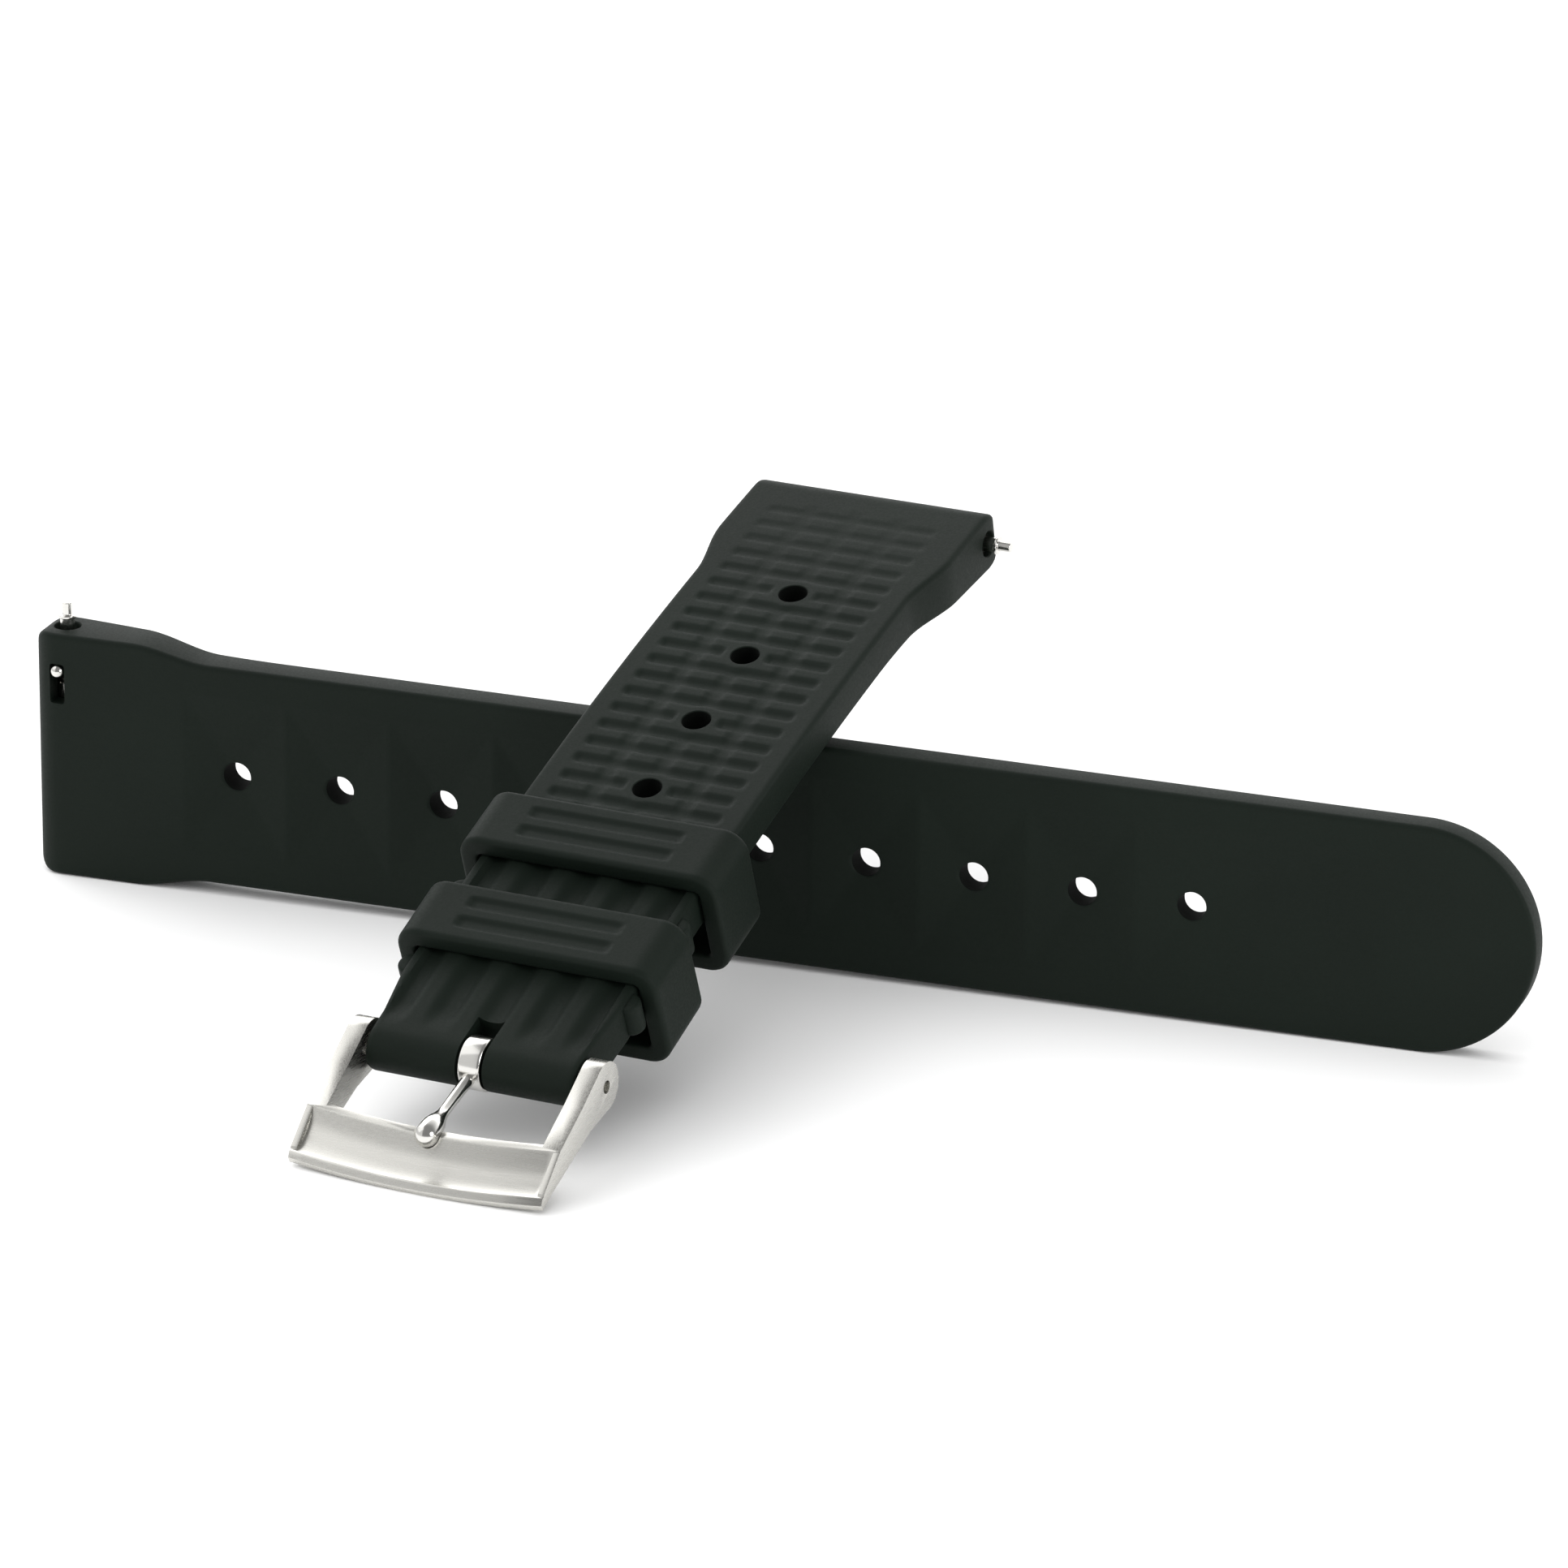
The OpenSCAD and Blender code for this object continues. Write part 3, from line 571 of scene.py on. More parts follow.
def makeReliefGroup():
    # soft raised blocks between cross grooves and channels, collars at the holes, hollows inside
    tree, given, keys = newGroup("mouldedRelief", [
        "Groove Depth", "Row Pitch", "Rows From", "Rows To", "Channel Pitch", "Channels To",
        "Block Half Width", "Flute Half Width", "Fade In", "Hole Start", "Hole Pitch", "Last Hole",
        "Collar Radius", "Dimple Depth", "Dimple Half Width"])
    plus, minus, times = arithmetic(tree)
    along, across, side = (
        addNode(tree, "GeometryNodeInputNamedAttribute", {"data_type": "FLOAT"},
                {"Name": label}).outputs["Attribute"] for label in ("along", "across", "side"))
    reach = calc(tree, "ABSOLUTE", across)

    def rise(value, low, high):
        return ramp(tree, value, low, high)

    def wave(value, phase, pitch):
        # cosine that is 1 at the phase and repeats every pitch
        turn = calc(tree, "DIVIDE", minus(value, phase), pitch)
        return calc(tree, "COSINE", times(turn, 2 * math.pi))

    # cross grooves between the first and the last row
    rows = times(rise(wave(along, given["Rows From"], given["Row Pitch"]), -0.35, 1.0),
                 rise(along, minus(given["Rows From"], 0.9), given["Rows From"]),
                 rise(along, plus(given["Rows To"], 0.6), given["Rows To"]))

    # channels along the band, which widen to flutes behind the last row
    fluted = rise(along, given["Rows To"], plus(given["Rows To"], 1.0))
    widest = plus(given["Block Half Width"],
                  times(fluted, minus(given["Flute Half Width"], given["Block Half Width"])))
    last = minus(widest, times(minus(1.0, fluted), 1.4))
    channels = times(rise(wave(across, 0.0, given["Channel Pitch"]), minus(0.1, times(fluted, 0.9)), 1.0),
                     rise(along, minus(given["Rows From"], 1.6), minus(given["Rows From"], 0.4)),
                     rise(along, given["Channels To"], minus(given["Channels To"], 3.0)),
                     rise(reach, last, minus(last, 0.3)))
    depth = plus(0.6, times(fluted, 1.3))
    plain = times(minus(1.0, rows), minus(1.0, times(channels, depth)))
    grooves = times(minus(1.0, plain), rise(reach, widest, minus(widest, 0.5)),
                    plus(0.3, times(0.7, rise(along, given["Rows From"], given["Fade In"]))))

    # a flat collar round each hole
    half = times(given["Hole Pitch"], 0.5)
    nearest = calc(tree, "WRAP", minus(along, given["Hole Start"]), half, times(half, -1.0))
    away = calc(tree, "SQRT", plus(times(nearest, nearest), times(across, across)))
    holed = times(rise(along, minus(given["Hole Start"], 4.0), minus(given["Hole Start"], 3.0)),
                  rise(along, plus(given["Last Hole"], 4.0), plus(given["Last Hole"], 3.0)))
    collar = times(holed, rise(away, plus(given["Collar Radius"], 0.35), given["Collar Radius"]))
    sunk = times(grooves, minus(1.0, collar), given["Groove Depth"])

    # inside: a shallow four-sided hollow round each hole, whose last side runs out to the end
    beyond = minus(along, given["Last Hole"])
    ends = calc(tree, "GREATER_THAN", beyond, 0.0)
    near = calc(tree, "DIVIDE", calc(tree, "ABSOLUTE", nearest), half)
    far = calc(tree, "DIVIDE", beyond, times(half, 3.0))
    lengthwise = plus(times(near, minus(1.0, ends)), times(far, ends))
    crosswise = calc(tree, "DIVIDE", reach, given["Dimple Half Width"])
    slope = calc(tree, "SMOOTH_MAX", lengthwise, crosswise, 0.1)
    dimple = times(calc(tree, "MAXIMUM", minus(1.0, slope), 0.0),
                   calc(tree, "GREATER_THAN", along, minus(given["Hole Start"], half)))

    inside = times(calc(tree, "LESS_THAN", side, -0.5), dimple, given["Dimple Depth"])
    outside = times(calc(tree, "GREATER_THAN", side, 0.5), sunk)
    shift = addNode(tree, "ShaderNodeCombineXYZ", inputs={"Z": minus(inside, outside)})
    moved = addNode(tree, "GeometryNodeSetPosition",
                    inputs={"Geometry": given["Geometry"], "Offset": shift.outputs[0]})
    closeGroup(tree, given, moved.outputs[0])
    return tree, keys


def makeRowGroup():
    # copies of one shape in a straight row along the band
    tree, given, keys = newGroup("shapeRow", ["Count", "Start", "Pitch"])
    first = addNode(tree, "ShaderNodeCombineXYZ", inputs={"Y": given["Start"]})
    gap = addNode(tree, "ShaderNodeCombineXYZ", inputs={"Y": given["Pitch"]})
    spots = addNode(tree, "GeometryNodeMeshLine", {"mode": "OFFSET", "count_mode": "TOTAL"}, {
        "Count": given["Count"], "Start Location": first.outputs[0], "Offset": gap.outputs[0]})
    row = addNode(tree, "GeometryNodeInstanceOnPoints",
                  inputs={"Points": spots.outputs[0], "Instance": given["Geometry"]})
    closeGroup(tree, given, row.outputs[0])
    return tree, keys


def makeCoilGroup():
    # round wire along an evenly wound helix about +z
    tree, given, keys = newGroup("wireCoil", ["Turns", "Coil Radius", "Length", "Wire Radius"])
    helix = addNode(tree, "GeometryNodeCurveSpiral", inputs={
        "Resolution": 28, "Rotations": given["Turns"], "Start Radius": given["Coil Radius"],
        "End Radius": given["Coil Radius"], "Height": given["Length"]})
    ring = addNode(tree, "GeometryNodeCurvePrimitiveCircle",
                   inputs={"Resolution": 10, "Radius": given["Wire Radius"]})
    wire = addNode(tree, "GeometryNodeCurveToMesh", inputs={
        "Curve": helix.outputs[0], "Profile Curve": ring.outputs[0], "Fill Caps": True})
    closeGroup(tree, given, wire.outputs[0])
    return tree, keys


def lathe(name, profile, sides=40):
    # closed solid turned about z; the profile runs from the axis to the axis as (radius, height)
    points, faces, rows = [], [], []
    turns = [2 * math.pi * index / sides for index in range(sides)]
    for radius, height in profile:
        if radius < 1e-6:
            rows.append([len(points)] * sides)
            points.append((0, 0, height))
        else:
            rows.append(list(range(len(points), len(points) + sides)))
            points += [(radius * math.cos(turn), radius * math.sin(turn), height) for turn in turns]
    for low, high in zip(rows, rows[1:]):
        for i in range(sides):
            j = (i + 1) % sides
            corners = [low[i], low[j], high[j], high[i]]
            face = [c for k, c in enumerate(corners) if c not in corners[:k]]
            if len(face) > 2:
                faces.append(face)
    return addPiece(name, points, faces, 0.00001)


def rounded(corners, radius, steps=4):
    # a (radius, height) outline whose inner corners are turned into arcs
    path = [corners[0]]
    for before, here, after in zip(corners, corners[1:], corners[2:]):
        here = Vector(here)
        a, b = Vector(before) - here, Vector(after) - here
        reach = min(radius, 0.45 * a.length, 0.45 * b.length)
        start, stop = here + a.normalized() * reach, here + b.normalized() * reach
        for t in spaced(0, 1, 1 / steps):
            path.append(tuple(start * (1 - t) ** 2 + here * 2 * t * (1 - t) + stop * t * t))
    return path + [corners[-1]]


def cut(piece, cutters, operation="DIFFERENCE"):
    for cutter in cutters:
        modifier = piece.modifiers.new("cut", "BOOLEAN")
        modifier.operation = operation
        modifier.solver = "EXACT"
        modifier.object = cutter
    applyModifiers(piece)
    for cutter in cutters:
        bpy.data.objects.remove(cutter)


def boxPiece(name, low, high, rounding=0.0, steps=3):
    body = bmesh.new()
    bmesh.ops.create_cube(body, size=1.0)
    size = Vector(high) - Vector(low)
    middle = (Vector(high) + Vector(low)) / 2
    for vertex in body.verts:
        vertex.co = Vector(vertex.co[axis] * size[axis] + middle[axis] for axis in range(3))
    if rounding:
        bmesh.ops.bevel(body, geom=body.edges, offset=rounding, segments=steps, affect="EDGES",
                        profile=0.5)
    mesh = bpy.data.meshes.new(name)
    body.to_mesh(mesh)
    body.free()
    return addObject(name, mesh)


def markFaces(piece, label, test):
    # 1 on the faces that the material treats differently, 0 on all others
    values = [float(test(face)) for face in piece.data.polygons]
    piece.data.attributes.new(label, "FLOAT", "FACE").data.foreach_set("value", values)


def turnedAcross(piece, along, height):
    piece.data.transform(Matrix.Translation((0, along, height)) @ Matrix.Rotation(math.pi / 2, 4, "Y"))
    return piece


def finishPiece(piece, place, body, node, material, sharp=40):
    # from millimetres in its own frame to its place in metres, with its body, node and slot
    mesh = piece.data
    mesh.transform(Matrix.Scale(mm, 4) @ place)
    for label in ("side", "across", "along"):
        if label in mesh.attributes:
            mesh.attributes.remove(mesh.attributes[label])
    mesh.polygons.foreach_set("use_smooth", [True] * len(mesh.polygons))
    mesh.set_sharp_from_angle(angle=math.radians(sharp))
    mesh.materials.clear()
    mesh.materials.append(material)
    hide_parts(node)
    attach(piece, body)


def mouldRelief(piece, half):
    row = holes["pitch"] / relief["rowsPerHole"]
    runGroup(piece, reliefGroup, {
        "Groove Depth": relief["grooveDepth"],
        "Row Pitch": row,
        "Rows From": half["holeStart"] + half["firstRow"] * row,
        "Rows To": half["rowsTo"],
        "Channel Pitch": relief["channelPitch"],
        "Channels To": half["channelsTo"],
        "Block Half Width": relief["blockHalfWidth"],
        "Flute Half Width": half["fluteHalfWidth"],
        "Fade In": relief["fadeIn"],
        "Hole Start": half["holeStart"],
        "Hole Pitch": holes["pitch"],
        "Last Hole": half["holeStart"] + (half["holeCount"] - 1) * holes["pitch"],
        "Collar Radius": holes["collar"],
        "Dimple Depth": relief["dimple"],
        "Dimple Half Width": relief["dimpleHalfWidth"],
    }, rubber)


def holeCutters(half, section):
    # one flared cutter, repeated along the band, then fitted to the faces where each hole is
    radius, rim, thick, past = holes["radius"], holes["rimRadius"], 3.0, 0.45
    wide = radius + rim * 0.5 + 0.55
    flare = [(radius + rim * (1 - math.cos(turn)), rim * (1 - math.sin(turn)))
             for turn in map(math.radians, (60, 45, 30, 15, 0))]
    profile = [(0, -past), (wide, -past)] + flare
    profile += [(r, thick - h) for r, h in reversed(profile)]
    cutter = lathe("holeCutter", profile, 48)
    runGroup(cutter, rowGroup, {"Count": half["holeCount"], "Start": half["holeStart"],
                                "Pitch": holes["pitch"]}, rubber)
    for vertex in cutter.data.vertices:
        index = round((vertex.co.y - half["holeStart"]) / holes["pitch"])
        low, high = section(half["holeStart"] + index * holes["pitch"])[1:]
        inner = low + relief["dimple"] * relief["dimpleAtRim"]
        vertex.co.z += high - thick if vertex.co.z > thick / 2 else inner
    return cutter


# marks the faces on the walls of the holes, which the rubber colours darker as painted shade and makes
# rougher
def markHoles(piece, half):
    wall = holes["radius"] + holes["rimRadius"]

    def onWall(face):
        index = round((face.center.y - half["holeStart"]) / holes["pitch"])
        index = min(max(index, 0), half["holeCount"] - 1)
        beside = face.center.y - half["holeStart"] - index * holes["pitch"]
        return math.hypot(face.center.x, beside) < wall and abs(face.normal.z) < 0.5

    markFaces(piece, "holeWall", onWall)


bars = {
    "radius": 0.9,
    "play": 0.05,
    "mouth": 1.05,
    "mouthDepth": 0.6,
    "mouthChamfer": 0.08,
    "float": 0.94027,
    "tipRadius": 0.4,
    "tipLength": 1.0,
    "flangeRadius": 0.72,
    "flangeThick": 0.25,
    "neckRadius": 0.58,
    "plugRadius": 0.69,            # the fixed tip's plug in the tube
    "plugFrom": 7.08,
    "plugTo": 8.58,
    "headRadius": 0.66,            # the plunger's head in the tube
    "headTo": 8.15,
    "headBehind": 0.7,
    "edge": 0.07,
    "knobAt": 6.9,
    "knobRadius": 0.55,
    "knobHeight": 2.05,
    "knobStem": 0.32,
    "stemTo": 1.6,
    "springFrom": -6.9,
    "slotLow": 4.28,
    "slotHigh": 7.53,
    "slotHalf": 0.63,
    "tongueSlot": 2.2,
    "tongueBack": 2.8,
}


def lugCutters(height):
    # bore with wider, chamfered mouths, and the slot in which the lever's knob slides
    edge, chamfer, past = band["lugWidth"] / 2, bars["mouthChamfer"], 0.5
    radius, mouth, deep = bars["radius"] + bars["play"], bars["mouth"], bars["mouthDepth"]
    side = [(0, edge + past), (mouth + 0.55, edge + past), (mouth, edge - chamfer),
            (mouth, edge - deep), (radius, edge - deep)]
    profile = [(r, -h) for r, h in side] + side[::-1]
    bore = turnedAcross(lathe("boreCutter", profile, 48), lugRadius, height)
    half = bars["slotHalf"]
    slot = boxPiece("slotCutter", (bars["slotLow"], lugRadius - half, height - band["lugThick"]),
                    (bars["slotHigh"], lugRadius + half, height), 0.25)
    return [bore, slot]


def makeLongHalf():
    piece = buildBand("longHalf", longStations(), longSection)
    mouldRelief(piece, longHalf)
    cut(piece, [holeCutters(longHalf, longSection)] + lugCutters(lugRadius))
    markHoles(piece, longHalf)
    # the flat band is stood on its long edge
    upright = Matrix(((0, 1, 0, -lugRadius), (0, 0, 1, -lugRadius), (1, 0, 0, 0), (0, 0, 0, 1)))
    finishPiece(piece, tailPlace() @ upright, "tail", "tail_strap", rubber)


keeper = {
    "length": 6.0,
    "wall": 1.5,
    "play": 0.2,
    "lift": 0.05,
    "cornerRadius": 0.4,
    "edge": 0.4,
    "innerEdge": 0.24,
    "grooveAt": 1.075,
    "grooveHalf": 0.46,
    "grooveDepth": 0.22,
    "grooveReach": 6.3,
    "grooveEnd": 0.3,
    "stopRadius": 1.0,             # the strap's own stops beside the fixed keeper
    "stopOut": 0.9,
    "stopGap": 0.25,
    "stopInset": 0.3,
    "stopEdge": 0.3,
    "fixedAt": 60.0,
    "freeAt": 49.5,
}


def keeperStops():
    # rounded stops on both edges, in front of and behind the fixed keeper
    radius = keeper["stopRadius"]
    low, high = keeper["stopInset"], shortHalf["thick"] - keeper["stopInset"]
    reach = keeper["length"] / 2 + keeper["stopGap"] + radius
    out = band["width"] / 2 + keeper["stopOut"] - radius
    outline = rounded([(0, low), (radius, low), (radius, high), (0, high)], keeper["stopEdge"])
    stops = []
    for along in (keeper["fixedAt"] - reach, keeper["fixedAt"] + reach):
        for across in (-out, out):
            stop = lathe("stop", outline)
            stop.data.transform(Matrix.Translation((across, along, 0)))
            stops.append(stop)
    return stops


def makeShortHalf():
    piece = buildBand("shortHalf", shortStations(), shortSection)
    mouldRelief(piece, shortHalf)
    length, end = shortHalf["length"], shortHalf["endRadius"]
    height = shortHalf["thick"] - end
    radius, reach = bars["radius"] + bars["play"], band["lugWidth"] / 2
    bore = lathe("barCutter", [(0, -reach), (radius, -reach), (radius, reach), (0, reach)], 48)
    half = bars["tongueSlot"] / 2
    slot = boxPiece("slotCutter", (-half, length - bars["tongueBack"], height - 2 * end),
                    (half, length + 2 * end, height + 2 * end))
    cut(piece, [holeCutters(shortHalf, shortSection), turnedAcross(bore, length, height), slot]
        + lugCutters(shortHalf["thick"] - lugRadius))
    cut(piece, keeperStops(), "UNION")
    markHoles(piece, shortHalf)
    sag = shortHalf["sagRadius"]
    for vertex in piece.data.vertices:
        across, along, up = vertex.co
        turn = (along - shortHalf["crossAt"]) / sag
        vertex.co = (across, -(sag + up) * math.sin(turn), (sag + up) * math.cos(turn) - sag)
    piece.data.flip_normals()      # the bend above mirrors the band
    finishPiece(piece, headPlace(), "buckle_half", "buckle_strap", rubber)


def keeperOutline():
    # round the inner face: (x, z, outward x, outward z), with the points that follow each corner
    x = band["width"] / 2 + keeper["play"] - keeper["cornerRadius"]
    z = (shortHalf["thick"] + longHalf["rootThick"]) / 2 - keeper["cornerRadius"]
    corners = [(x, -z, -90, 12), (x, z, 0, 72), (-x, z, 90, 12), (-x, -z, 180, 30)]
    spots = []
    for index, (cx, cz, start, count) in enumerate(corners):
        for turn in map(math.radians, spaced(start, start + 90, 9)):
            spots.append((cx, cz, math.cos(turn), math.sin(turn)))
        nextX, nextZ = corners[(index + 1) % 4][:2]
        for share in spaced(0, 1, 1 / count)[1:-1]:
            spots.append((cx + (nextX - cx) * share, cz + (nextZ - cz) * share,
                          math.cos(turn), math.sin(turn)))
    return spots


def keeperSection():
    # round the band's section: (distance out from the inner face, place along the strap)
    half, wall, soft, small = keeper["length"] / 2, keeper["wall"], keeper["edge"], keeper["innerEdge"]
    ring = []
    for out, place, radius, start in ((wall - soft, half - soft, soft, 0),
                                      (small, half - small, small, 90),
                                      (small, small - half, small, 180),
                                      (wall - soft, soft - half, soft, 270)):
        for turn in map(math.radians, spaced(start, start + 90, 22.5)):
            ring.append((out + radius * math.cos(turn), place + radius * math.sin(turn)))
    return ring + [(wall, place) for place in spaced(soft - half, half - soft, (half - soft) / 22)[1:-1]]


def makeKeeper(name, node, body, at):
    # a loop with round edges and two grooves pressed into its top
    outline, ring, points = keeperOutline(), keeperSection(), []
    for cx, cz, outX, outZ in outline:
        for out, place in ring:
            reach = keeper["cornerRadius"] + out
            x, z = cx + outX * reach, cz + outZ * reach
            if out > keeper["wall"] - 0.01 and outZ > 0.99:
                near = abs(abs(place) - keeper["grooveAt"]) / keeper["grooveHalf"]
                ends = ease((keeper["grooveReach"] - abs(x)) / keeper["grooveEnd"])
                z -= keeper["grooveDepth"] * ease(1.6 - near) * ends
            points.append((x, place, z))
    piece = addPiece(name, points, gridFaces(len(outline), len(ring), True))
    middle = shortHalf["thick"] + keeper["lift"] - (shortHalf["thick"] + longHalf["rootThick"]) / 2
    finishPiece(piece, onStrap(at, middle), body, node, rubber)


coil = {
    "turns": 10.0,
    "buckleTurns": 8.0,
    "wire": 0.1,
    "radius": 0.54,
    "gap": 0.2,
}


def makeCoil(name, node, body, place, low, high, turns):
    piece = addObject(name, bpy.data.meshes.new(name))
    runGroup(piece, coilGroup, {"Turns": turns, "Coil Radius": coil["radius"], "Length": high - low,
                                "Wire Radius": coil["wire"]}, polishedSteel)
    finishPiece(piece, place @ Matrix.Translation((0, 0, low)), body, node, polishedSteel, 60)


def makeQuickReleaseBars():
    b = bars
    edge, out = band["lugWidth"] / 2, band["lugWidth"] / 2 + b["tipLength"]
    tip, flange, neck, inside = b["tipRadius"], b["flangeRadius"], b["neckRadius"], edge - b["flangeThick"]
    shared = [(neck, inside), (flange, inside), (flange, edge), (tip, edge), (tip, out), (0, out)]
    knob = b["knobAt"] - b["float"]
    back = knob - b["headBehind"]
    plunger = [(0, back), (b["headRadius"], back), (b["headRadius"], b["headTo"]), (neck, b["headTo"])]
    plug = [(0, b["plugFrom"]), (b["plugRadius"], b["plugFrom"]), (b["plugRadius"], b["plugTo"]),
            (neck, b["plugTo"])]
    stem, radius = b["knobStem"], b["knobRadius"]
    ball = [(0, b["headRadius"]), (stem, b["headRadius"]), (stem, b["stemTo"])]
    ball += [(radius * math.sin(turn), b["knobHeight"] - radius * math.cos(turn))
             for turn in map(math.radians, range(36, 180, 12))]
    ball.append((0, b["knobHeight"] + radius))

    # as photographed, both bars lie at the lever's end of their play
    slid = Matrix.Translation((0, 0, b["float"]))
    headAxis = (onStrap(lugRadius, shortHalf["thick"] - lugRadius)
                @ Matrix.Rotation(math.pi / 2, 4, "Z") @ Matrix.Rotation(math.pi / 2, 4, "X"))
    for name, place in (("tail", tailPlace() @ slid), ("head", headAxis @ slid)):
        fixed = [(r, -h) for r, h in rounded(plug + shared, b["edge"])]
        finishPiece(lathe(name + "FixedTip", fixed), place, name + "_bar", name + "_bar_fixed_tip",
                    polishedSteel)
        finishPiece(lathe(name + "Plunger", rounded(plunger + shared, b["edge"])), place,
                    name + "_plunger", name + "_bar_plunger", polishedSteel)
        lever = lathe(name + "Lever", ball)
        lever.data.transform(Matrix.Translation((0, 0, knob)) @ Matrix.Rotation(math.pi / 2, 4, "X"))
        finishPiece(lever, place, name + "_plunger", name + "_bar_lever", polishedSteel)
        makeCoil(name + "Spring", name + "_bar_spring", name + "_bar", place, b["springFrom"],
                 back - coil["gap"], coil["turns"])


buckle = {
    "drop": 3.0,
    "windowLength": 6.9,
    "frontLength": 4.6,
    "bow": 0.9,
    "armOut": 10.3,
    "armThick": 1.5,
    "rimHeight": 1.15,
    "hollow": 0.45,
    "sideWall": 0.5,
    "land": 0.6,                   # flat margin beside the hollow
    "edge": 0.13,
    "edgeAngle": 28,
    "pinRadius": 0.66,
    "pinTipRadius": 0.45,
    "pinLength": 2.0,
    "pinInset": 0.15,
    "pinShoulder": 0.45,
    "pinSunk": 0.65,               # from the arm's outer face in to the pin's end
    "pinEdge": 0.08,
}

tongue = {
    "width": 1.8,
    "bore": 0.96,
    "knuckle": 2.0,
    "edge": 0.22,
    "length": 8.7,
    "restHeight": 1.4,
    "stem": [(0.52, 1.3), (0.50, 2.2), (0.45, 3.4)],
    "swell": [(0.43, -3.0), (0.46, -2.5), (0.60, -2.0), (0.78, -1.5), (0.89, -1.0), (0.92, -0.5)],
    "bulb": 0.91,
    "bulbLength": 0.85,
}


def makeBuckleBar():
    # two turned tips that press inwards on one coil
    b = buckle
    end, out = shortHalf["endWidth"] / 2 - b["pinInset"], b["armOut"] - b["pinSunk"]
    place = onStrap(shortHalf["length"], shortHalf["thick"] - shortHalf["endRadius"])
    place = place @ Matrix.Rotation(math.pi / 2, 4, "Y")
    pin, tip, shoulder = b["pinRadius"], b["pinTipRadius"], end - b["pinShoulder"]
    shape = rounded([(0, end - b["pinLength"]), (pin, end - b["pinLength"]), (pin, shoulder),
                     (tip, shoulder), (tip, out), (0, out)], b["pinEdge"])
    for name, turn in (("left", math.pi), ("right", 0)):
        finishPiece(lathe(name + "PinTip", shape), place @ Matrix.Rotation(turn, 4, "X"),
                    name + "_pin", "buckle_bar_" + name + "_tip", polishedSteel)
    reach = end - b["pinLength"] - coil["gap"]
    makeCoil("buckleSpring", "buckle_bar_spring", "buckle_half", place, -reach, reach, coil["buckleTurns"])


def bucklePlace():
    return (onStrap(shortHalf["length"], shortHalf["thick"] - shortHalf["endRadius"])
            @ Matrix.Rotation(math.radians(buckle["drop"]), 4, "X"))


def hollowCutter():
    # the front bar's hollow, swept along its bow from one thin side wall to the other
    b = buckle
    rimEdge = Vector((b["windowLength"] + b["land"], b["rimHeight"]))
    lipEdge = Vector((b["windowLength"] + b["frontLength"] - b["land"], 0.0))
    chord = (lipEdge - rimEdge).length
    down = (lipEdge - rimEdge) / chord
    up = Vector((-down.y, down.x))
    radius = (chord ** 2 / 4 + b["hollow"] ** 2) / (2 * b["hollow"])
    deeper, clear = 0.03, 1.6
    centre = (rimEdge + lipEdge) / 2 + up * (radius - b["hollow"] - deeper)
    widest = math.asin(chord / 2 / radius) * 1.02
    section = [centre - up * radius * math.cos(turn) + down * radius * math.sin(turn)
               for turn in spaced(-widest, widest, widest / 12)]
    section += [section[-1] + up * clear, section[0] + up * clear]
    bow = (b["armOut"] ** 2 + b["bow"] ** 2) / (2 * b["bow"])
    reach = b["armOut"] - b["sideWall"]
    rows = spaced(-reach, reach, reach / 24)
    points = [(across, bow - b["bow"] - math.sqrt((bow + spot.x) ** 2 - across ** 2), spot.y)
              for across in rows for spot in section]
    count = len(section)
    ends = [tuple(range(count)), tuple(range(len(points) - count, len(points)))]
    return addPiece("hollowCutter", points, gridFaces(len(rows), count) + ends)


def makeFrame():
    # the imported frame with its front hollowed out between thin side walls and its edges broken
    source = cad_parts["buckle_frame"]
    mesh = source.data.copy()
    place = bucklePlace()
    mesh.transform(place.inverted() @ Matrix.Scale(1 / mm, 4) @ source.matrix_world)
    tidy = bmesh.new()
    tidy.from_mesh(mesh)
    bmesh.ops.remove_doubles(tidy, verts=tidy.verts, dist=0.0005)
    bmesh.ops.dissolve_limit(tidy, angle_limit=math.radians(1.0), verts=tidy.verts, edges=tidy.edges)
    tidy.to_mesh(mesh)
    tidy.free()
    piece = addObject("buckleFrame", mesh)
    cut(piece, [hollowCutter()])
    bevel = piece.modifiers.new("edges", "BEVEL")
    bevel.width = buckle["edge"]
    bevel.segments = 3
    bevel.limit_method = "ANGLE"
    bevel.angle_limit = math.radians(buckle["edgeAngle"])
    bevel.use_clamp_overlap = True
    applyModifiers(piece)
    inside = buckle["armOut"] - buckle["armThick"] - 0.05
    markFaces(piece, "arm", lambda face: abs(face.center.x) > inside
              and face.center.y > -buckle["windowLength"])
    finishPiece(piece, place, "frame", "buckle_frame", brushedSteel, 32)


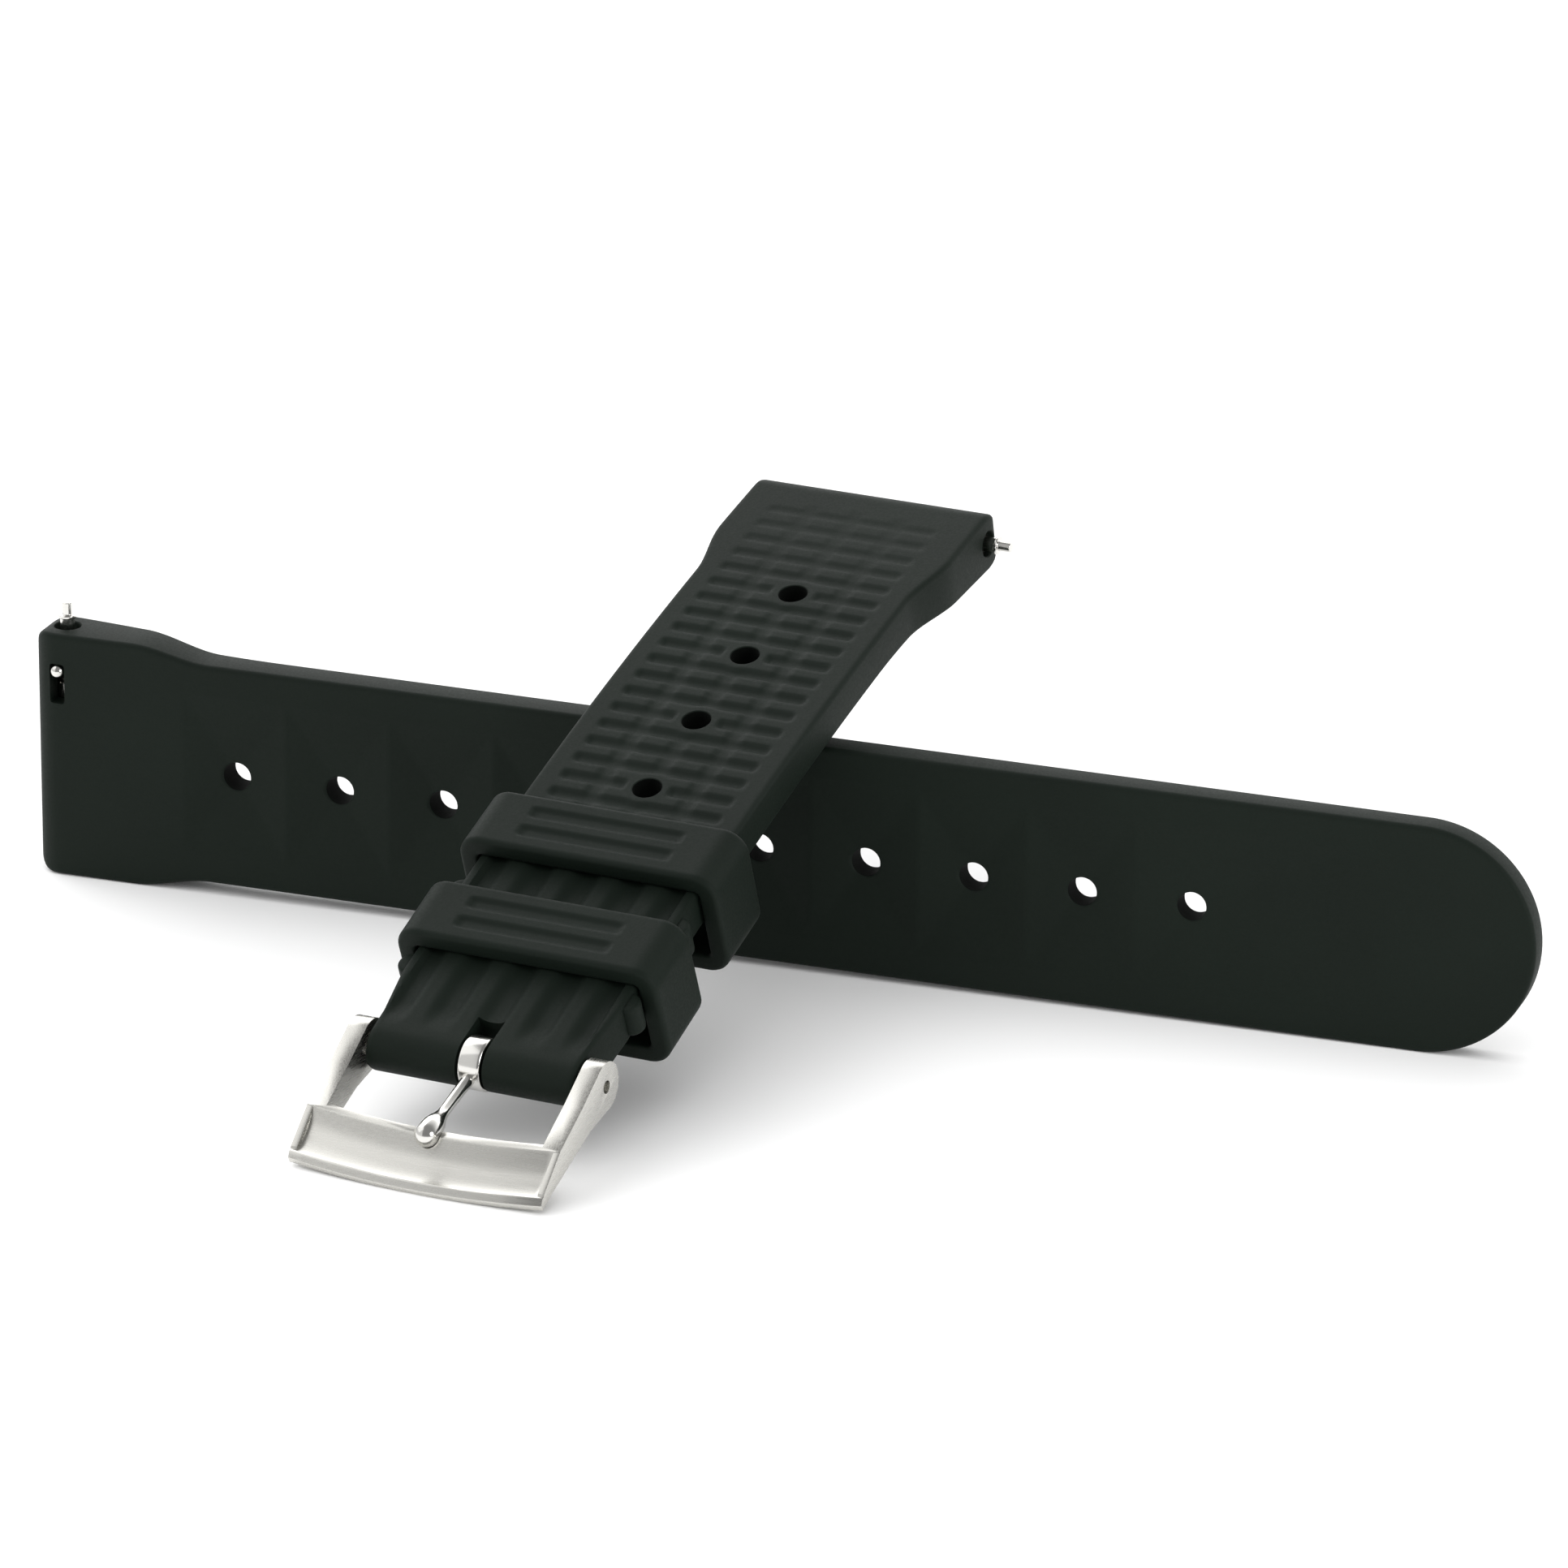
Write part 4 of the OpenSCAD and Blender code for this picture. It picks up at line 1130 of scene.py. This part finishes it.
def makeTongue():
    # rolled knuckle and a prong that swells to a drop
    t = tongue
    half, bore, knuckle = t["width"] / 2, t["bore"], t["knuckle"]
    wall = rounded([(bore, 0), (bore, half), (knuckle, half), (knuckle, 0)], t["edge"])[1:-1]
    outline = [(r, -h) for r, h in reversed(wall)] + wall
    turns = [2 * math.pi * index / 64 for index in range(64)]
    points = [(h, r * math.cos(turn), r * math.sin(turn)) for turn in turns for r, h in outline]
    piece = addPiece("tongue", points, gridFaces(len(turns), len(outline), True))

    end = t["length"]
    side = t["stem"] + [(r, end + h) for r, h in t["swell"]] + [(t["bulb"], end)]
    profile = [(0, side[0][1])]
    for here, after in zip(side, side[1:]):
        profile += [here, ((here[0] + after[0]) / 2, (here[1] + after[1]) / 2)]
    profile += [(t["bulb"] * math.cos(turn), end + t["bulbLength"] * math.sin(turn))
                for turn in map(math.radians, range(0, 90, 15))]
    prong = lathe("prong", profile + [(0, end + t["bulbLength"])])
    slope = math.asin(t["restHeight"] / end)
    prong.data.transform(Matrix.Rotation(math.pi / 2 - slope, 4, "X"))
    cut(piece, [prong], "UNION")
    finishPiece(piece, bucklePlace(), "tongue", "buckle_tongue", polishedSteel)


makeCamera()
makeWorld()
makeFloor()
makeLamps()
bpy.context.scene.view_settings.view_transform = "Standard"
rubber = makeRubber()
brushedSteel = makeSteel("brushed")
polishedSteel = makeSteel("polished")
finishes = dict.fromkeys(("tail_strap", "buckle_strap", "fixed_keeper", "free_keeper"), rubber)
finishes["buckle_frame"] = brushedSteel
for name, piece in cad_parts.items():
    piece.data.materials.clear()
    piece.data.materials.append(finishes.get(name, polishedSteel))
print("studio and finishes ready")

reliefGroup = makeReliefGroup()
rowGroup = makeRowGroup()
coilGroup = makeCoilGroup()
makeLongHalf()
print("long half ready")
makeShortHalf()
print("short half ready")
makeKeeper("fixedKeeper", "fixed_keeper", "buckle_half", keeper["fixedAt"])
makeKeeper("freeKeeper", "free_keeper", "keeper", keeper["freeAt"])
print("keepers ready")
makeQuickReleaseBars()
makeBuckleBar()
makeFrame()
makeTongue()
print("metal ready")
